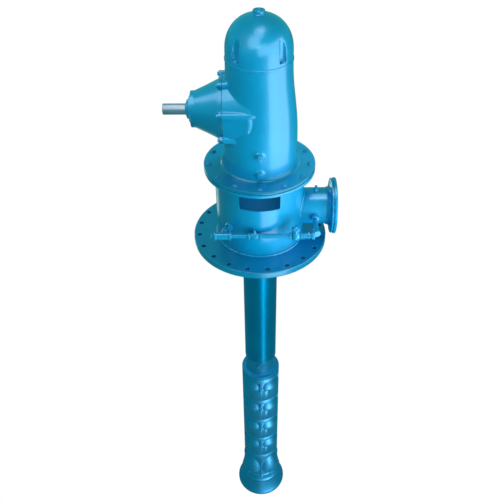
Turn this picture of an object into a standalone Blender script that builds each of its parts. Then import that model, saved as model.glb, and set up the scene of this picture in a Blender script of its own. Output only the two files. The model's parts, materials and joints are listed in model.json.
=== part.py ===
"""Vertical turbine pump with a fabricated discharge head and a right-angle gear drive.

Metres, +Z up. The underside of the base flange lies at Z = 0, and the origin is on it, on the
front of its bolt circle. The pump's axis is parallel to Z, the discharge leaves along +X, the
input shaft along -X, and the bypass piping is on the front, towards -Y.
"""

import math

import bmesh
import bpy
from mathutils import Matrix, Vector

GAP = 0.0003

# Sides of round pieces, from the widest to the smallest
WIDE = 40
LOBED = 24
MEDIUM = 28
SMALL = 16
TINY = 10
HOLE = 8

# Base flange
BASE_RADIUS = 0.398
BASE_THICKNESS = 0.043
BASE_EDGE = 0.004
BASE_BORE = 0.112
BASE_RECESS_RADIUS = 0.200
BASE_RECESS_DEPTH = 0.004
BOLT_CIRCLE = 0.365
BASE_HOLES = 20
BASE_HOLE_RADIUS = 0.013
BASE_HOLE_PHASE = 6.9

# Discharge head
BARREL_RADIUS = 0.254
BARREL_WALL = 0.012
WELD = 0.008
WINDOW_WIDTH = 0.224
WINDOW_BOTTOM = 0.365
WINDOW_TOP = 0.478
HEAD_FLANGE_BOTTOM = 0.491
HEAD_FLANGE_TOP = 0.512
TOP_FLANGE_RADIUS = 0.3125
TOP_FLANGE_BORE = 0.190
DECK_BOTTOM = 0.342
DECK_TOP = 0.356
STUFFING_RADIUS = 0.060
DECK_BORE = 0.0463
SHAFT_CLEARANCE = 0.001
STUFFING_ROOT = 0.010
STUFFING_SPIGOT = 0.046
STUFFING_FLANGE = 0.088
STUFFING_FLANGE_THICKNESS = 0.012
STUFFING_HEIGHT = 0.046
GLAND_RADIUS = 0.052
GLAND_FLANGE_THICKNESS = 0.008
GLAND_COLLAR = 0.032
GLAND_HEIGHT = 0.016

# Discharge branch, along +X
DISCHARGE_HEIGHT = 0.2215
PIPE_RADIUS = 0.1075
PIPE_BORE = 0.0995
PIPE_START = 0.205
HUB_START = 0.390
DISCHARGE_RIM = 0.411
DISCHARGE_FACE = 0.4435
DISCHARGE_FLANGE_RADIUS = 0.165
DISCHARGE_BOLT_CIRCLE = 0.141
DISCHARGE_HOLES = 8
DISCHARGE_HOLE_RADIUS = 0.011
HUB_FLARE = 0.012
DISCHARGE_EDGE = 0.002
TAP_POSITION = 0.3255
TAP_RADIUS = 0.011
# Radius and height over the pipe's top
TAP_PROFILE = ((0.0, -0.006), (TAP_RADIUS, -0.006), (TAP_RADIUS, 0.018), (0.008, 0.020), (0.008, 0.034),
               (0.0, 0.034))

# Gear drive
GEAR_FLANGE_TOP = 0.532
HOUSING_BORE = 0.075
SEAM_BOTTOM = 1.129
SEAM_TOP = 1.143
SEAM_STEP = 0.003
COVER_RADIUS = 0.1725
COVER_SKIRT_TOP = 1.178
COVER_TOP = 1.3565
COVER_FULLNESS = 0.92
COVER_STEPS = 7
KNOB_RADIUS = 0.0305
KNOB_TOP = 1.375
KNOB_EDGE = 0.004
POCKET_RADIUS = 0.0275
POCKET_CENTRE = 0.170
POCKET_FLOOR = 1.160
POCKET_ANGLE = 47.0
OIL_PLUG_RADIUS = 0.019
OIL_PLUG_HEIGHTS = (0.5745, 0.683)
OIL_BOSS_EDGE = 0.005
OIL_BOSS_START = 0.15
OIL_BOSS_FACE = 0.2155
# Radius and distance from the pump's axis
OIL_PLUG_PROFILE = ((0.0, 0.2158), (OIL_PLUG_RADIUS, 0.2158), (OIL_PLUG_RADIUS, 0.226), (0.011, 0.229),
                    (0.0, 0.229))
HOUSING_PROFILE = ((0.532, 0.217), (0.541, 0.209), (0.692, 0.2072), (0.794, 0.2035), (0.871, 0.1957),
                   (0.928, 0.1890), (0.984, 0.1815), (1.034, 0.1765), (1.129, 0.1732))

# Input shaft, along -X
INPUT_HEIGHT = 0.853
DRUM_FACE = 0.1885
DRUM_RADIUS_FACE = 0.168
DRUM_RADIUS_ROOT = 0.2005
DRUM_ROOT = 0.052
DRUM_EDGE = 0.014
EAR_CIRCLE = 0.1800
EAR_RADIUS = 0.0175
EAR_TIP = 0.016
EAR_TAPER = 0.045
EAR_DEPTH = 0.035
EAR_SIDES = 5
EAR_POINT = 0.15
EAR_POINT_SHIFT = 0.010
EARS = 7
EAR_PHASE = 15.7
CARTRIDGE_FLANGE = 0.2100
CONE_RADIUS = 0.157
CONE_EDGE = (0.004, 0.008)
NOSE_RADIUS = 0.096
NOSE_START = 0.338
NOSE_FACE = 0.361
NOSE_EDGE = (0.006, 0.004)
SEAL_FACE = 0.389
SEAL_RADIUS = 0.070
# How far the seal cap's steps lie inside its radius, and in front of the nose
SEAL_STEPS = ((0.014, 0.010), (0.020, 0.021), (0.034, 0.025), (0.036, 0.028))
INPUT_SHAFT_RADIUS = 0.0292
INPUT_SHAFT_END = 0.510
INPUT_SHAFT_ROOT = 0.270
INPUT_SHAFT_EDGE = 0.003
INPUT_POCKET = (0.006, 0.008)
INPUT_CLEARANCE = 0.0008

# Column, bowls and suction bell, below the base
COLUMN_FLANGE_RADIUS = 0.170
COLUMN_FLANGE_BOTTOM = -0.0213
COLUMN_RADIUS = 0.1080
COLUMN_BORE = 0.1000
COLUMN_END = -1.071
NECK_RADIUS = 0.1045
NECK_END = -1.210
NECK_EDGE = 0.004
NECK_STEP = (0.003, 0.006)
NECK_BOSS_RADIUS = 0.024
NECK_BOSS_FACE = 0.1215
NECK_BOSS_HEIGHT = -1.112
BOWL_THROAT = 0.096
BOWL_WEB = 0.030
BOWL_RADIUS = 0.1345
BOWL_TOP = -1.232
BOWL_PITCH = 0.240
BOWLS = 4
LOBE_RADIUS = 0.137
LOBE_ROOT = 0.117
LOBE_START = 0.040
LOBE_LENGTH = 0.098
CHAMBER_RADIUS = 0.104
CHAMBER_HEIGHT = 0.115
CHAMBER_EDGE = 0.020
IMPELLER_RADIUS = 0.094
IMPELLER_LIFT = 0.012
# Radius and height over the impeller's eye, without the bore
IMPELLER_PROFILE = ((0.062, 0.0), (0.064, 0.022), (IMPELLER_RADIUS, 0.042), (IMPELLER_RADIUS, 0.066),
                    (0.036, 0.090))
BELL_END = -2.702
BELL_LIP_RADIUS = 0.193
BELL_LIP = (0.005, 0.012)
BELL_LOBES_TOP = -2.236
BELL_LOBE_RADIUS = 0.151
BELL_RIB_PROFILE = ((0.1295, 0.050, 0.2), (0.1340, 0.125, 0.55), (0.1450, 0.205, 0.85), (0.1480, 0.240, 1.0))
BELL_PROFILE = ((0.1500, -2.520), (0.1560, -2.536), (0.1560, -2.556), (0.1650, -2.606), (0.1780, -2.650),
                (0.1890, -2.678))
BELL_MOUTH_PROFILE = ((0.178, BELL_END), (0.160, -2.630), (0.143, -2.560), (0.124, -2.480), (0.102, -2.380))
BELL_BORE = 0.098
BELL_HUB_RADIUS = 0.045
BELL_HUB_DROP = 0.020
BELL_HUB_RISE = 0.080
BELL_HUB_EDGE = (0.008, 0.004)
BELL_RIBS = 4
BELL_RIB_SIZE = (0.115, 0.012, 0.060)
BELL_RIB_MIDDLE = 0.0955
BELL_RIB_LIFT = 0.040
BELL_CAP_RADIUS = 0.036
BELL_CAP_FACE = 0.030
BELL_CAP_DEPTHS = (0.032, 0.026)

# Pump shaft
LINE_SHAFT_RADIUS = 0.0222
JOURNAL_RADIUS = 0.0232
SHAFT_BOTTOM = -2.546
SHAFT_JOINT = 0.314
HEAD_SHAFT_TOP = 0.546
HOUSING_POCKET_TOP = 0.559
COUPLING_RADIUS = 0.036
COUPLING_BOTTOM = 0.426
COUPLING_TOP = 0.506
COUPLING_EDGE = 0.002

# Bypass piping
BYPASS_HEIGHT = 0.2162
BYPASS_FRONT = -0.280
BYPASS_RADIUS = 0.0133
BYPASS_X = 0.3195
VALVE_X = 0.200
COCK_X = -0.030
TEE_X = -0.2076
TEE_ANGLE = 20.0
TEE_HALF = 0.047
TEE_REACH = 0.040
BARREL_TAP = 0.082
VALVE_HALF = 0.036
COCK_HALF = 0.036
ELBOW_REACH = 0.030
ELBOW_BEND = 0.020
ELBOW_RADIUS = 0.0185
FITTING_COLLAR = 0.0215
SOCKET = 0.012
COLLAR_START = 0.014
COLLAR_WIDTH = 0.009
COLLAR_NECK = 0.003
FITTING_STEPS = 4
ELBOW_STEPS = 4
WELDOLET_RADIUS = 0.024
WELDOLET_FACE = 0.134
WELDOLET_SOCKET = 0.122
# Radius and distance along the run
UNION_PROFILE = ((0.021, 0.239), (0.021, 0.249), (0.016, 0.250), (0.016, 0.266), (0.021, 0.267), (0.021, 0.279))
VALVE_BELLY = 0.031
BONNET_PROFILE = ((0.0, 0.0), (0.019, 0.0), (0.019, 0.040), (0.025, 0.043), (0.025, 0.054), (0.018, 0.064),
                  (0.008, 0.068), (0.0, 0.068))
COCK_BELLY = 0.0215
STEM_PROFILE = ((0.0, 0.0), (0.009, 0.0), (0.009, 0.030), (0.006, 0.031), (0.006, 0.040), (0.0, 0.040))
TEE_RADIUS = 0.022
TEE_COLLAR = 0.026
TEE_BAND = (0.010, 0.012)
ARM_PROFILE = ((0.0, 0.0), (0.021, 0.0), (0.021, 0.024), (0.025, 0.026), (0.025, TEE_REACH), (0.0, TEE_REACH))
TEE_PLUG = (0.016, 0.022)
NIPPLE_RIBS = 4
NIPPLE_RIB_RADIUS = 0.019
NIPPLE_END = 0.004
TAP_BOSS_RADIUS = 0.024
TAP_BOSS_EDGE = 0.002
TAP_BOSS_END = 0.150

PAINT = (0.0, 0.35, 0.70, 1.0)
STEEL = (0.60, 0.61, 0.62, 1.0)
BRONZE = (0.55, 0.40, 0.20, 1.0)


def clear_scene():
    """Removes whatever the new file holds."""
    for thing in list(bpy.data.objects):
        bpy.data.objects.remove(thing, do_unlink=True)


def material(name, colour, metallic, roughness):
    """A Principled material with one colour."""
    mat = bpy.data.materials.new(name)
    mat.use_nodes = True
    shader = mat.node_tree.nodes["Principled BSDF"]
    shader.inputs["Base Color"].default_value = colour
    shader.inputs["Metallic"].default_value = metallic
    shader.inputs["Roughness"].default_value = roughness
    return mat


def empty(name, location, parent=None, rotation=(0.0, 0.0, 0.0)):
    """An empty that carries the pieces on one axis."""
    holder = bpy.data.objects.new(name, None)
    holder.location = location
    holder.rotation_euler = rotation
    holder.parent = parent
    bpy.context.collection.objects.link(holder)
    return holder


def mesh_object(name, bm, parent, finish="paint"):
    """Turns a bmesh into a named object with its own material, shaded smooth between sharp edges."""
    bmesh.ops.recalc_face_normals(bm, faces=bm.faces)
    mesh = bpy.data.meshes.new(name)
    bm.to_mesh(mesh)
    bm.free()
    mesh.shade_smooth()
    mesh.set_sharp_from_angle(angle=math.radians(35))
    piece = bpy.data.objects.new(name, mesh)
    piece.parent = parent
    bpy.context.collection.objects.link(piece)
    look = {"paint": (PAINT, 0.0, 0.25), "steel": (STEEL, 1.0, 0.25), "bronze": (BRONZE, 1.0, 0.4)}[finish]
    mesh.materials.append(material(name + "_mat", *look))
    return piece


def turned(profile, segments, phase=0.0):
    """A closed body turned round local Z from a closed loop of (radius, height) points."""
    bm = bmesh.new()
    rings = []
    for radius, height in profile:
        if radius < GAP:
            rings.append([bm.verts.new((0.0, 0.0, height))])
            continue
        ring = []
        for k in range(segments):
            a = 2 * math.pi * k / segments + phase
            ring.append(bm.verts.new((radius * math.cos(a), radius * math.sin(a), height)))
        rings.append(ring)
    for lower, upper in zip(rings, rings[1:] + rings[:1]):
        if len(lower) == 1 and len(upper) == 1:
            continue
        for k in range(segments):
            n = (k + 1) % segments
            corners = [lower[k % len(lower)], lower[n % len(lower)],
                       upper[n % len(upper)], upper[k % len(upper)]]
            bm.faces.new(list(dict.fromkeys(corners)))
    return bm


def prism(outline, bottom, top):
    """A straight-sided body over an outline of (x, y) points."""
    bm = bmesh.new()
    face = bm.faces.new([bm.verts.new((x, y, bottom)) for x, y in outline])
    lifted = bmesh.ops.extrude_face_region(bm, geom=[face])["geom"]
    bmesh.ops.translate(bm, verts=[v for v in lifted if isinstance(v, bmesh.types.BMVert)],
                        vec=(0.0, 0.0, top - bottom))
    return bm


def box(size, centre):
    """A box of a given size about its centre."""
    bm = bmesh.new()
    bmesh.ops.create_cube(bm, size=1.0)
    bmesh.ops.scale(bm, vec=size, verts=bm.verts)
    bmesh.ops.translate(bm, vec=centre, verts=bm.verts)
    return bm


def polygon(radius, sides, phase=0.0):
    """Points round a circle."""
    return [(radius * math.cos(phase + 2 * math.pi * k / sides),
             radius * math.sin(phase + 2 * math.pi * k / sides))
            for k in range(sides)]


def rod(radius, start, end, segments):
    """A plain cylinder along local Z."""
    return turned([(0.0, start), (radius, start), (radius, end), (0.0, end)], segments)


def tube(outer, inner, start, end, segments):
    """A plain tube along local Z."""
    return turned([(inner, start), (outer, start), (outer, end), (inner, end)], segments)


def moved(bm, location=(0.0, 0.0, 0.0), axis="Z", angle=0.0):
    """Turns a bmesh by an angle in degrees round one axis, and then shifts it."""
    bmesh.ops.transform(bm, matrix=Matrix.Translation(location) @ Matrix.Rotation(math.radians(angle), 4, axis),
                        verts=bm.verts)
    return bm


def joined(bodies):
    """Several bodies in one bmesh."""
    bm = bmesh.new()
    for body in bodies:
        mesh = bpy.data.meshes.new("body")
        bmesh.ops.recalc_face_normals(body, faces=body.faces)
        body.to_mesh(mesh)
        body.free()
        bm.from_mesh(mesh)
        bpy.data.meshes.remove(mesh)
    return bm


def shape_with(piece, operation, bodies):
    """Adds bodies to a piece (UNION) or takes them out of it (DIFFERENCE)."""
    for number, body in enumerate(bodies):
        tool = mesh_object(f"{piece.name}_{operation.lower()}_{len(piece.modifiers)}_{number}", body, piece.parent)
        tool.hide_render = True
        tool.display_type = "WIRE"
        tool.matrix_parent_inverse = piece.matrix_parent_inverse
        modifier = piece.modifiers.new(operation.title(), "BOOLEAN")
        modifier.operation = operation
        modifier.object = tool
        modifier.solver = "EXACT"


def hole_ring(count, circle, radius, phase, bottom, top, segments):
    """Drills for a ring of like holes, as one bmesh."""
    drills = []
    for k in range(count):
        a = math.radians(phase + 360.0 * k / count)
        drills.append(moved(rod(radius, bottom, top, segments), (circle * math.cos(a), circle * math.sin(a), 0.0)))
    return joined(drills)


def lobe_radius(angle, share, lobe, rib):
    """Outside radius of a bowl between its bands, at an angle round the axis and a share of the lobe's height."""
    lobe_swell = abs(math.sin(2 * angle)) ** 0.8
    rise = math.sin(math.pi * share) ** 0.6
    nearest = round(angle / (math.pi / 2)) * (math.pi / 2)
    if abs(angle - nearest) < math.radians(4.0):
        return rib
    waist = rib + (LOBE_ROOT - rib) * rise
    return waist + (lobe - waist) * lobe_swell * rise


def lobed_shell(rings, inner, segments):
    """A body turned round Z whose outer rings may be lobed.

    rings holds (radius, height, share, lobe) with share None on plain rings, and inner closes the
    section with plain (radius, height) points."""
    bm = bmesh.new()
    loops = []
    for radius, height, share, lobe in rings:
        loop = []
        for k in range(segments):
            a = 2 * math.pi * k / segments
            r = radius if share is None else lobe_radius(a, share, lobe, radius)
            loop.append(bm.verts.new((r * math.cos(a), r * math.sin(a), height)))
        loops.append(loop)
    for radius, height in inner:
        loops.append([bm.verts.new((radius * math.cos(2 * math.pi * k / segments),
                                    radius * math.sin(2 * math.pi * k / segments), height))
                      for k in range(segments)])
    for a_loop, b_loop in zip(loops, loops[1:] + loops[:1]):
        for k in range(segments):
            n = (k + 1) % segments
            bm.faces.new([a_loop[k], a_loop[n], b_loop[n], b_loop[k]])
    return bm


def build_base(axis):
    """Base flange with its ring of holes, and the recess that seats the column flange."""
    edge = BASE_EDGE
    base = mesh_object("base_flange", turned([
        (BASE_BORE, BASE_THICKNESS), (BASE_BORE, BASE_RECESS_DEPTH), (BASE_RECESS_RADIUS, BASE_RECESS_DEPTH),
        (BASE_RECESS_RADIUS, 0.0), (BASE_RADIUS - edge, 0.0), (BASE_RADIUS, edge),
        (BASE_RADIUS, BASE_THICKNESS - edge), (BASE_RADIUS - edge, BASE_THICKNESS)], WIDE), axis)
    drills = hole_ring(BASE_HOLES, BOLT_CIRCLE, BASE_HOLE_RADIUS, BASE_HOLE_PHASE - 90.0,
                       -0.01, BASE_THICKNESS + 0.01, HOLE)
    shape_with(base, "DIFFERENCE", [drills])


def build_head(axis):
    """Barrel with its front and back windows, the deck inside it, and the flange on top."""
    inner = BARREL_RADIUS - BARREL_WALL
    bottom = BASE_THICKNESS + GAP
    barrel = mesh_object("head_barrel", turned([
        (inner, bottom), (BARREL_RADIUS + WELD, bottom), (BARREL_RADIUS + WELD, bottom + 0.002),
        (BARREL_RADIUS, bottom + WELD + 0.002), (BARREL_RADIUS, HEAD_FLANGE_BOTTOM - GAP),
        (inner, HEAD_FLANGE_BOTTOM - GAP)], WIDE), axis)
    window = box((WINDOW_WIDTH, 3 * BARREL_RADIUS, WINDOW_TOP - WINDOW_BOTTOM),
                 (0.0, 0.0, (WINDOW_TOP + WINDOW_BOTTOM) / 2))
    outlet = moved(rod(PIPE_RADIUS, 0.1, 0.4, MEDIUM), (0.0, 0.0, DISCHARGE_HEIGHT), "Y", 90)
    shape_with(barrel, "DIFFERENCE", [window, outlet])

    deck_radius = inner - GAP
    mesh_object("head_deck", tube(deck_radius, DECK_BORE, DECK_BOTTOM, DECK_TOP, WIDE), axis)
    mesh_object("head_top_flange", tube(TOP_FLANGE_RADIUS, TOP_FLANGE_BORE, HEAD_FLANGE_BOTTOM,
                                        HEAD_FLANGE_TOP, WIDE), axis)

    deck = DECK_TOP + GAP
    bore = LINE_SHAFT_RADIUS + SHAFT_CLEARANCE
    root = DECK_BOTTOM - STUFFING_ROOT
    seat = deck + STUFFING_FLANGE_THICKNESS
    top = deck + STUFFING_HEIGHT
    mesh_object("stuffing_box", turned([
        (bore, root), (STUFFING_SPIGOT, root), (STUFFING_SPIGOT, deck), (STUFFING_FLANGE, deck),
        (STUFFING_FLANGE, seat), (STUFFING_RADIUS, seat), (STUFFING_RADIUS, top), (bore, top)], WIDE // 2), axis)
    low = top + GAP
    mesh_object("packing_gland", turned([
        (bore, low), (GLAND_RADIUS, low), (GLAND_RADIUS, low + GLAND_FLANGE_THICKNESS),
        (GLAND_COLLAR, low + GLAND_FLANGE_THICKNESS), (GLAND_COLLAR, low + GLAND_HEIGHT),
        (bore, low + GLAND_HEIGHT)], WIDE // 2), axis, "bronze")


def build_discharge(axis):
    """Discharge pipe, its bolting flange, and the plug in the pipe's pressure tap."""
    outlet = empty("discharge_axis", (0.0, 0.0, DISCHARGE_HEIGHT), axis, (0.0, math.radians(90), 0.0))
    mesh_object("discharge_pipe", tube(PIPE_RADIUS - GAP, PIPE_BORE, PIPE_START, HUB_START - GAP, MEDIUM), outlet)
    rim, edge = DISCHARGE_FLANGE_RADIUS, DISCHARGE_EDGE
    flange = mesh_object("discharge_flange", turned([
        (PIPE_BORE, HUB_START), (PIPE_RADIUS, HUB_START), (PIPE_RADIUS + HUB_FLARE, DISCHARGE_RIM),
        (rim - edge, DISCHARGE_RIM), (rim, DISCHARGE_RIM + edge), (rim, DISCHARGE_FACE - edge),
        (rim - edge, DISCHARGE_FACE), (PIPE_BORE, DISCHARGE_FACE)], MEDIUM), outlet)
    drills = hole_ring(DISCHARGE_HOLES, DISCHARGE_BOLT_CIRCLE, DISCHARGE_HOLE_RADIUS, 22.5,
                       DISCHARGE_RIM - 0.02, DISCHARGE_FACE + 0.02, HOLE)
    shape_with(flange, "DIFFERENCE", [drills])

    seat = DISCHARGE_HEIGHT + PIPE_RADIUS
    tap = mesh_object("pressure_tap_plug", turned([(r, seat + h) for r, h in TAP_PROFILE], TINY), axis)
    tap.location = (TAP_POSITION, 0.0, 0.0)
    drill = moved(rod(TAP_RADIUS + GAP, 0.09, 0.13, TINY), (0.0, 0.0, TAP_POSITION), "Y", -90)
    pipe = bpy.data.objects["discharge_pipe"]
    shape_with(pipe, "DIFFERENCE", [drill])


def build_gear_drive(axis):
    """Gear housing, its cover and the small plugs on them."""
    flange = HEAD_FLANGE_TOP + GAP
    outline = [(HOUSING_BORE, flange), (TOP_FLANGE_RADIUS, flange), (TOP_FLANGE_RADIUS, GEAR_FLANGE_TOP)]
    outline += [(radius, height) for height, radius in HOUSING_PROFILE]
    outline += [(0.0, SEAM_BOTTOM), (0.0, HOUSING_POCKET_TOP), (HOUSING_BORE, HOUSING_POCKET_TOP)]
    housing = mesh_object("gear_housing", turned(outline, WIDE), axis)
    drum = turned([(0.0, 0.0), (DRUM_RADIUS_ROOT - DRUM_EDGE, DRUM_ROOT - DRUM_EDGE), (DRUM_RADIUS_ROOT, DRUM_ROOT),
                   (DRUM_RADIUS_FACE, DRUM_FACE), (0.0, DRUM_FACE)], MEDIUM, math.pi / MEDIUM)
    bodies = [moved(drum, (0.0, 0.0, INPUT_HEIGHT), "Y", -90)]
    for k in range(EARS):
        bodies.append(ear(EAR_PHASE + 360.0 * k / EARS, EAR_TIP, DRUM_FACE, True))
    for height in OIL_PLUG_HEIGHTS:
        boss = rod(OIL_PLUG_RADIUS + OIL_BOSS_EDGE, OIL_BOSS_START, OIL_BOSS_FACE, SMALL)
        bodies.append(moved(boss, (0.0, 0.0, height), "X", 90))
    shape_with(housing, "UNION", bodies)
    facing = moved(rod(EAR_CIRCLE + EAR_RADIUS + 0.004, DRUM_FACE, DRUM_FACE + 0.05, MEDIUM),
                   (0.0, 0.0, INPUT_HEIGHT), "Y", -90)
    shape_with(housing, "DIFFERENCE", [facing])

    low, rim = SEAM_BOTTOM + GAP, COVER_RADIUS + SEAM_STEP
    dome = [(0.0, low), (rim, low), (rim, SEAM_TOP), (COVER_RADIUS, SEAM_TOP + SEAM_STEP),
            (COVER_RADIUS, COVER_SKIRT_TOP)]
    rise = COVER_TOP - COVER_SKIRT_TOP
    for k in range(1, COVER_STEPS):
        a = math.radians(90.0 * k / COVER_STEPS)
        dome.append((COVER_RADIUS * math.cos(a) ** COVER_FULLNESS,
                     COVER_SKIRT_TOP + rise * math.sin(a) ** COVER_FULLNESS))
    flat = dome[-1][1]
    dome.append((0.0, flat))
    cover = mesh_object("gear_cover", turned(dome, WIDE), axis)
    pockets = []
    for k in range(4):
        a = math.radians((POCKET_ANGLE, 180.0 - POCKET_ANGLE)[k % 2] + 180.0 * (k // 2))
        spot = (POCKET_CENTRE * math.cos(a), POCKET_CENTRE * math.sin(a), 0.0)
        pockets.append(moved(rod(POCKET_RADIUS, POCKET_FLOOR, COVER_TOP + 0.05, SMALL), spot))
    shape_with(cover, "DIFFERENCE", [joined(pockets)])
    mesh_object("cover_vent_plug", turned([
        (0.0, flat + GAP), (KNOB_RADIUS, flat + GAP), (KNOB_RADIUS, KNOB_TOP - KNOB_EDGE),
        (KNOB_RADIUS - KNOB_EDGE, KNOB_TOP), (0.0, KNOB_TOP)], MEDIUM), axis)
    for name, height in zip(("oil_drain_plug", "oil_level_plug"), OIL_PLUG_HEIGHTS):
        plug = mesh_object(name, moved(turned(OIL_PLUG_PROFILE, SMALL), axis="X", angle=90), axis)
        plug.location = (0.0, 0.0, height)


def ear(angle, tip, face, pointed):
    """A half-round bolt rib along the drum, or the matching ear of the cartridge flange."""
    outline = [(EAR_CIRCLE - EAR_DEPTH, -EAR_RADIUS), (EAR_CIRCLE - EAR_DEPTH, EAR_RADIUS)]
    for k in range(EAR_SIDES + 1):
        a = math.pi / 2 - math.pi * k / EAR_SIDES
        outline.append((EAR_CIRCLE + EAR_RADIUS * math.cos(a), EAR_RADIUS * math.sin(a)))
    bm = prism(outline, tip + EAR_TAPER if pointed else tip, face)
    if pointed:
        end = [f for f in bm.faces if all(abs(v.co.z - tip - EAR_TAPER) < GAP for v in f.verts)]
        point = bmesh.ops.extrude_face_region(bm, geom=end)["geom"]
        verts = [v for v in point if isinstance(v, bmesh.types.BMVert)]
        bmesh.ops.delete(bm, geom=end, context="FACES_ONLY")
        bmesh.ops.translate(bm, verts=verts, vec=(0.0, 0.0, -EAR_TAPER))
        centre = Vector((EAR_CIRCLE - EAR_POINT_SHIFT, 0.0, tip))
        for v in verts:
            v.co = centre + (v.co - centre) * EAR_POINT
    bmesh.ops.transform(bm, matrix=ear_frame(angle), verts=bm.verts)
    return bm


def ear_frame(angle):
    """Carries local X to the ear's direction in the YZ plane and local Z to -X."""
    a = math.radians(angle)
    out = Vector((0.0, -math.cos(a), math.sin(a)))
    along = Vector((-1.0, 0.0, 0.0))
    side = along.cross(out)
    frame = Matrix((out, side, along)).transposed().to_4x4()
    return Matrix.Translation((0.0, 0.0, INPUT_HEIGHT)) @ frame


def build_input(axis):
    """Pinion cartridge, seal cap and input shaft, turned round an axis that points along -X."""
    line = empty("input_axis", (0.0, 0.0, INPUT_HEIGHT), axis, (0.0, math.radians(-90), 0.0))
    back = DRUM_FACE + GAP
    pocket = INPUT_SHAFT_RADIUS + INPUT_POCKET[0]
    pocket_end = INPUT_SHAFT_ROOT - INPUT_POCKET[1]
    cartridge = mesh_object("pinion_cartridge", moved(turned([
        (0.0, back), (DRUM_RADIUS_FACE, back), (DRUM_RADIUS_FACE, CARTRIDGE_FLANGE),
        (CONE_RADIUS, CARTRIDGE_FLANGE), (CONE_RADIUS - CONE_EDGE[0], CARTRIDGE_FLANGE + CONE_EDGE[1]),
        (NOSE_RADIUS, NOSE_START),
        (NOSE_RADIUS, NOSE_FACE - NOSE_EDGE[1]), (NOSE_RADIUS - NOSE_EDGE[0], NOSE_FACE), (pocket, NOSE_FACE),
        (pocket, pocket_end), (0.0, pocket_end)], MEDIUM), (0.0, 0.0, INPUT_HEIGHT), "Y", -90), axis)
    ears = [ear(EAR_PHASE + 360.0 * k / EARS, back, CARTRIDGE_FLANGE, False) for k in range(EARS)]
    shape_with(cartridge, "UNION", ears)
    bore = INPUT_SHAFT_RADIUS + INPUT_CLEARANCE
    cap = [(bore, NOSE_FACE + GAP), (SEAL_RADIUS, NOSE_FACE + GAP)]
    cap += [(SEAL_RADIUS - inside, NOSE_FACE + out) for inside, out in SEAL_STEPS]
    cap.append((bore, SEAL_FACE))
    mesh_object("input_seal_cap", turned(cap, MEDIUM), line)
    edge = INPUT_SHAFT_EDGE
    mesh_object("input_shaft", turned([
        (0.0, INPUT_SHAFT_ROOT), (INPUT_SHAFT_RADIUS, INPUT_SHAFT_ROOT),
        (INPUT_SHAFT_RADIUS, INPUT_SHAFT_END - edge), (INPUT_SHAFT_RADIUS - edge, INPUT_SHAFT_END),
        (0.0, INPUT_SHAFT_END)], MEDIUM), line, "steel")


def build_column(axis):
    """Column flange and pipe, and the discharge bowl at its foot."""
    top = BASE_RECESS_DEPTH - GAP
    mesh_object("column_flange", tube(COLUMN_FLANGE_RADIUS, COLUMN_BORE, COLUMN_FLANGE_BOTTOM, top, MEDIUM), axis)
    mesh_object("column_pipe", tube(COLUMN_RADIUS, COLUMN_BORE, COLUMN_END, COLUMN_FLANGE_BOTTOM - GAP, MEDIUM), axis)
    edge = NECK_EDGE
    bowl = mesh_object("discharge_bowl", turned([
        (JOURNAL_RADIUS, BOWL_TOP + GAP), (BOWL_RADIUS, BOWL_TOP + GAP), (BOWL_RADIUS, NECK_END - edge),
        (BOWL_RADIUS - edge, NECK_END), (NECK_RADIUS + edge, NECK_END), (NECK_RADIUS, NECK_END + edge),
        (NECK_RADIUS, COLUMN_END - NECK_STEP[1]), (COLUMN_RADIUS, COLUMN_END - NECK_STEP[0]),
        (COLUMN_RADIUS, COLUMN_END - GAP), (BOWL_THROAT, COLUMN_END - GAP), (BOWL_THROAT, NECK_END + BOWL_WEB),
        (JOURNAL_RADIUS, NECK_END + BOWL_WEB)], MEDIUM), axis)
    boss = moved(rod(NECK_BOSS_RADIUS, 0.08, NECK_BOSS_FACE, TINY), (0.0, 0.0, NECK_BOSS_HEIGHT), "X", 90)
    shape_with(bowl, "UNION", [boss])


def lobe_rings(top, length, lobe, plain):
    """Rings of a lobed zone, from its top down."""
    shares = (0.0, 0.15, 0.5, 0.85, 1.0)
    return [(plain, top - length * s, s, lobe) for s in shares]


def build_bowls(axis):
    """Four like bowls, each with a chamber for its impeller."""
    for number in range(BOWLS):
        top = BOWL_TOP - BOWL_PITCH * (BOWLS - 1 - number)
        bottom = top - BOWL_PITCH + GAP
        rings = [(BOWL_RADIUS, top, None, 0.0)]
        rings += lobe_rings(top - LOBE_START, LOBE_LENGTH, LOBE_RADIUS, BOWL_RADIUS)
        rings.append((BOWL_RADIUS, bottom, None, 0.0))
        roof = bottom + CHAMBER_HEIGHT
        inner = [(CHAMBER_RADIUS, bottom), (CHAMBER_RADIUS, roof - CHAMBER_EDGE),
                 (CHAMBER_RADIUS - CHAMBER_EDGE, roof), (JOURNAL_RADIUS, roof), (JOURNAL_RADIUS, top)]
        mesh_object(f"bowl_{number + 1}", lobed_shell(rings, inner, LOBED), axis)


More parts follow.
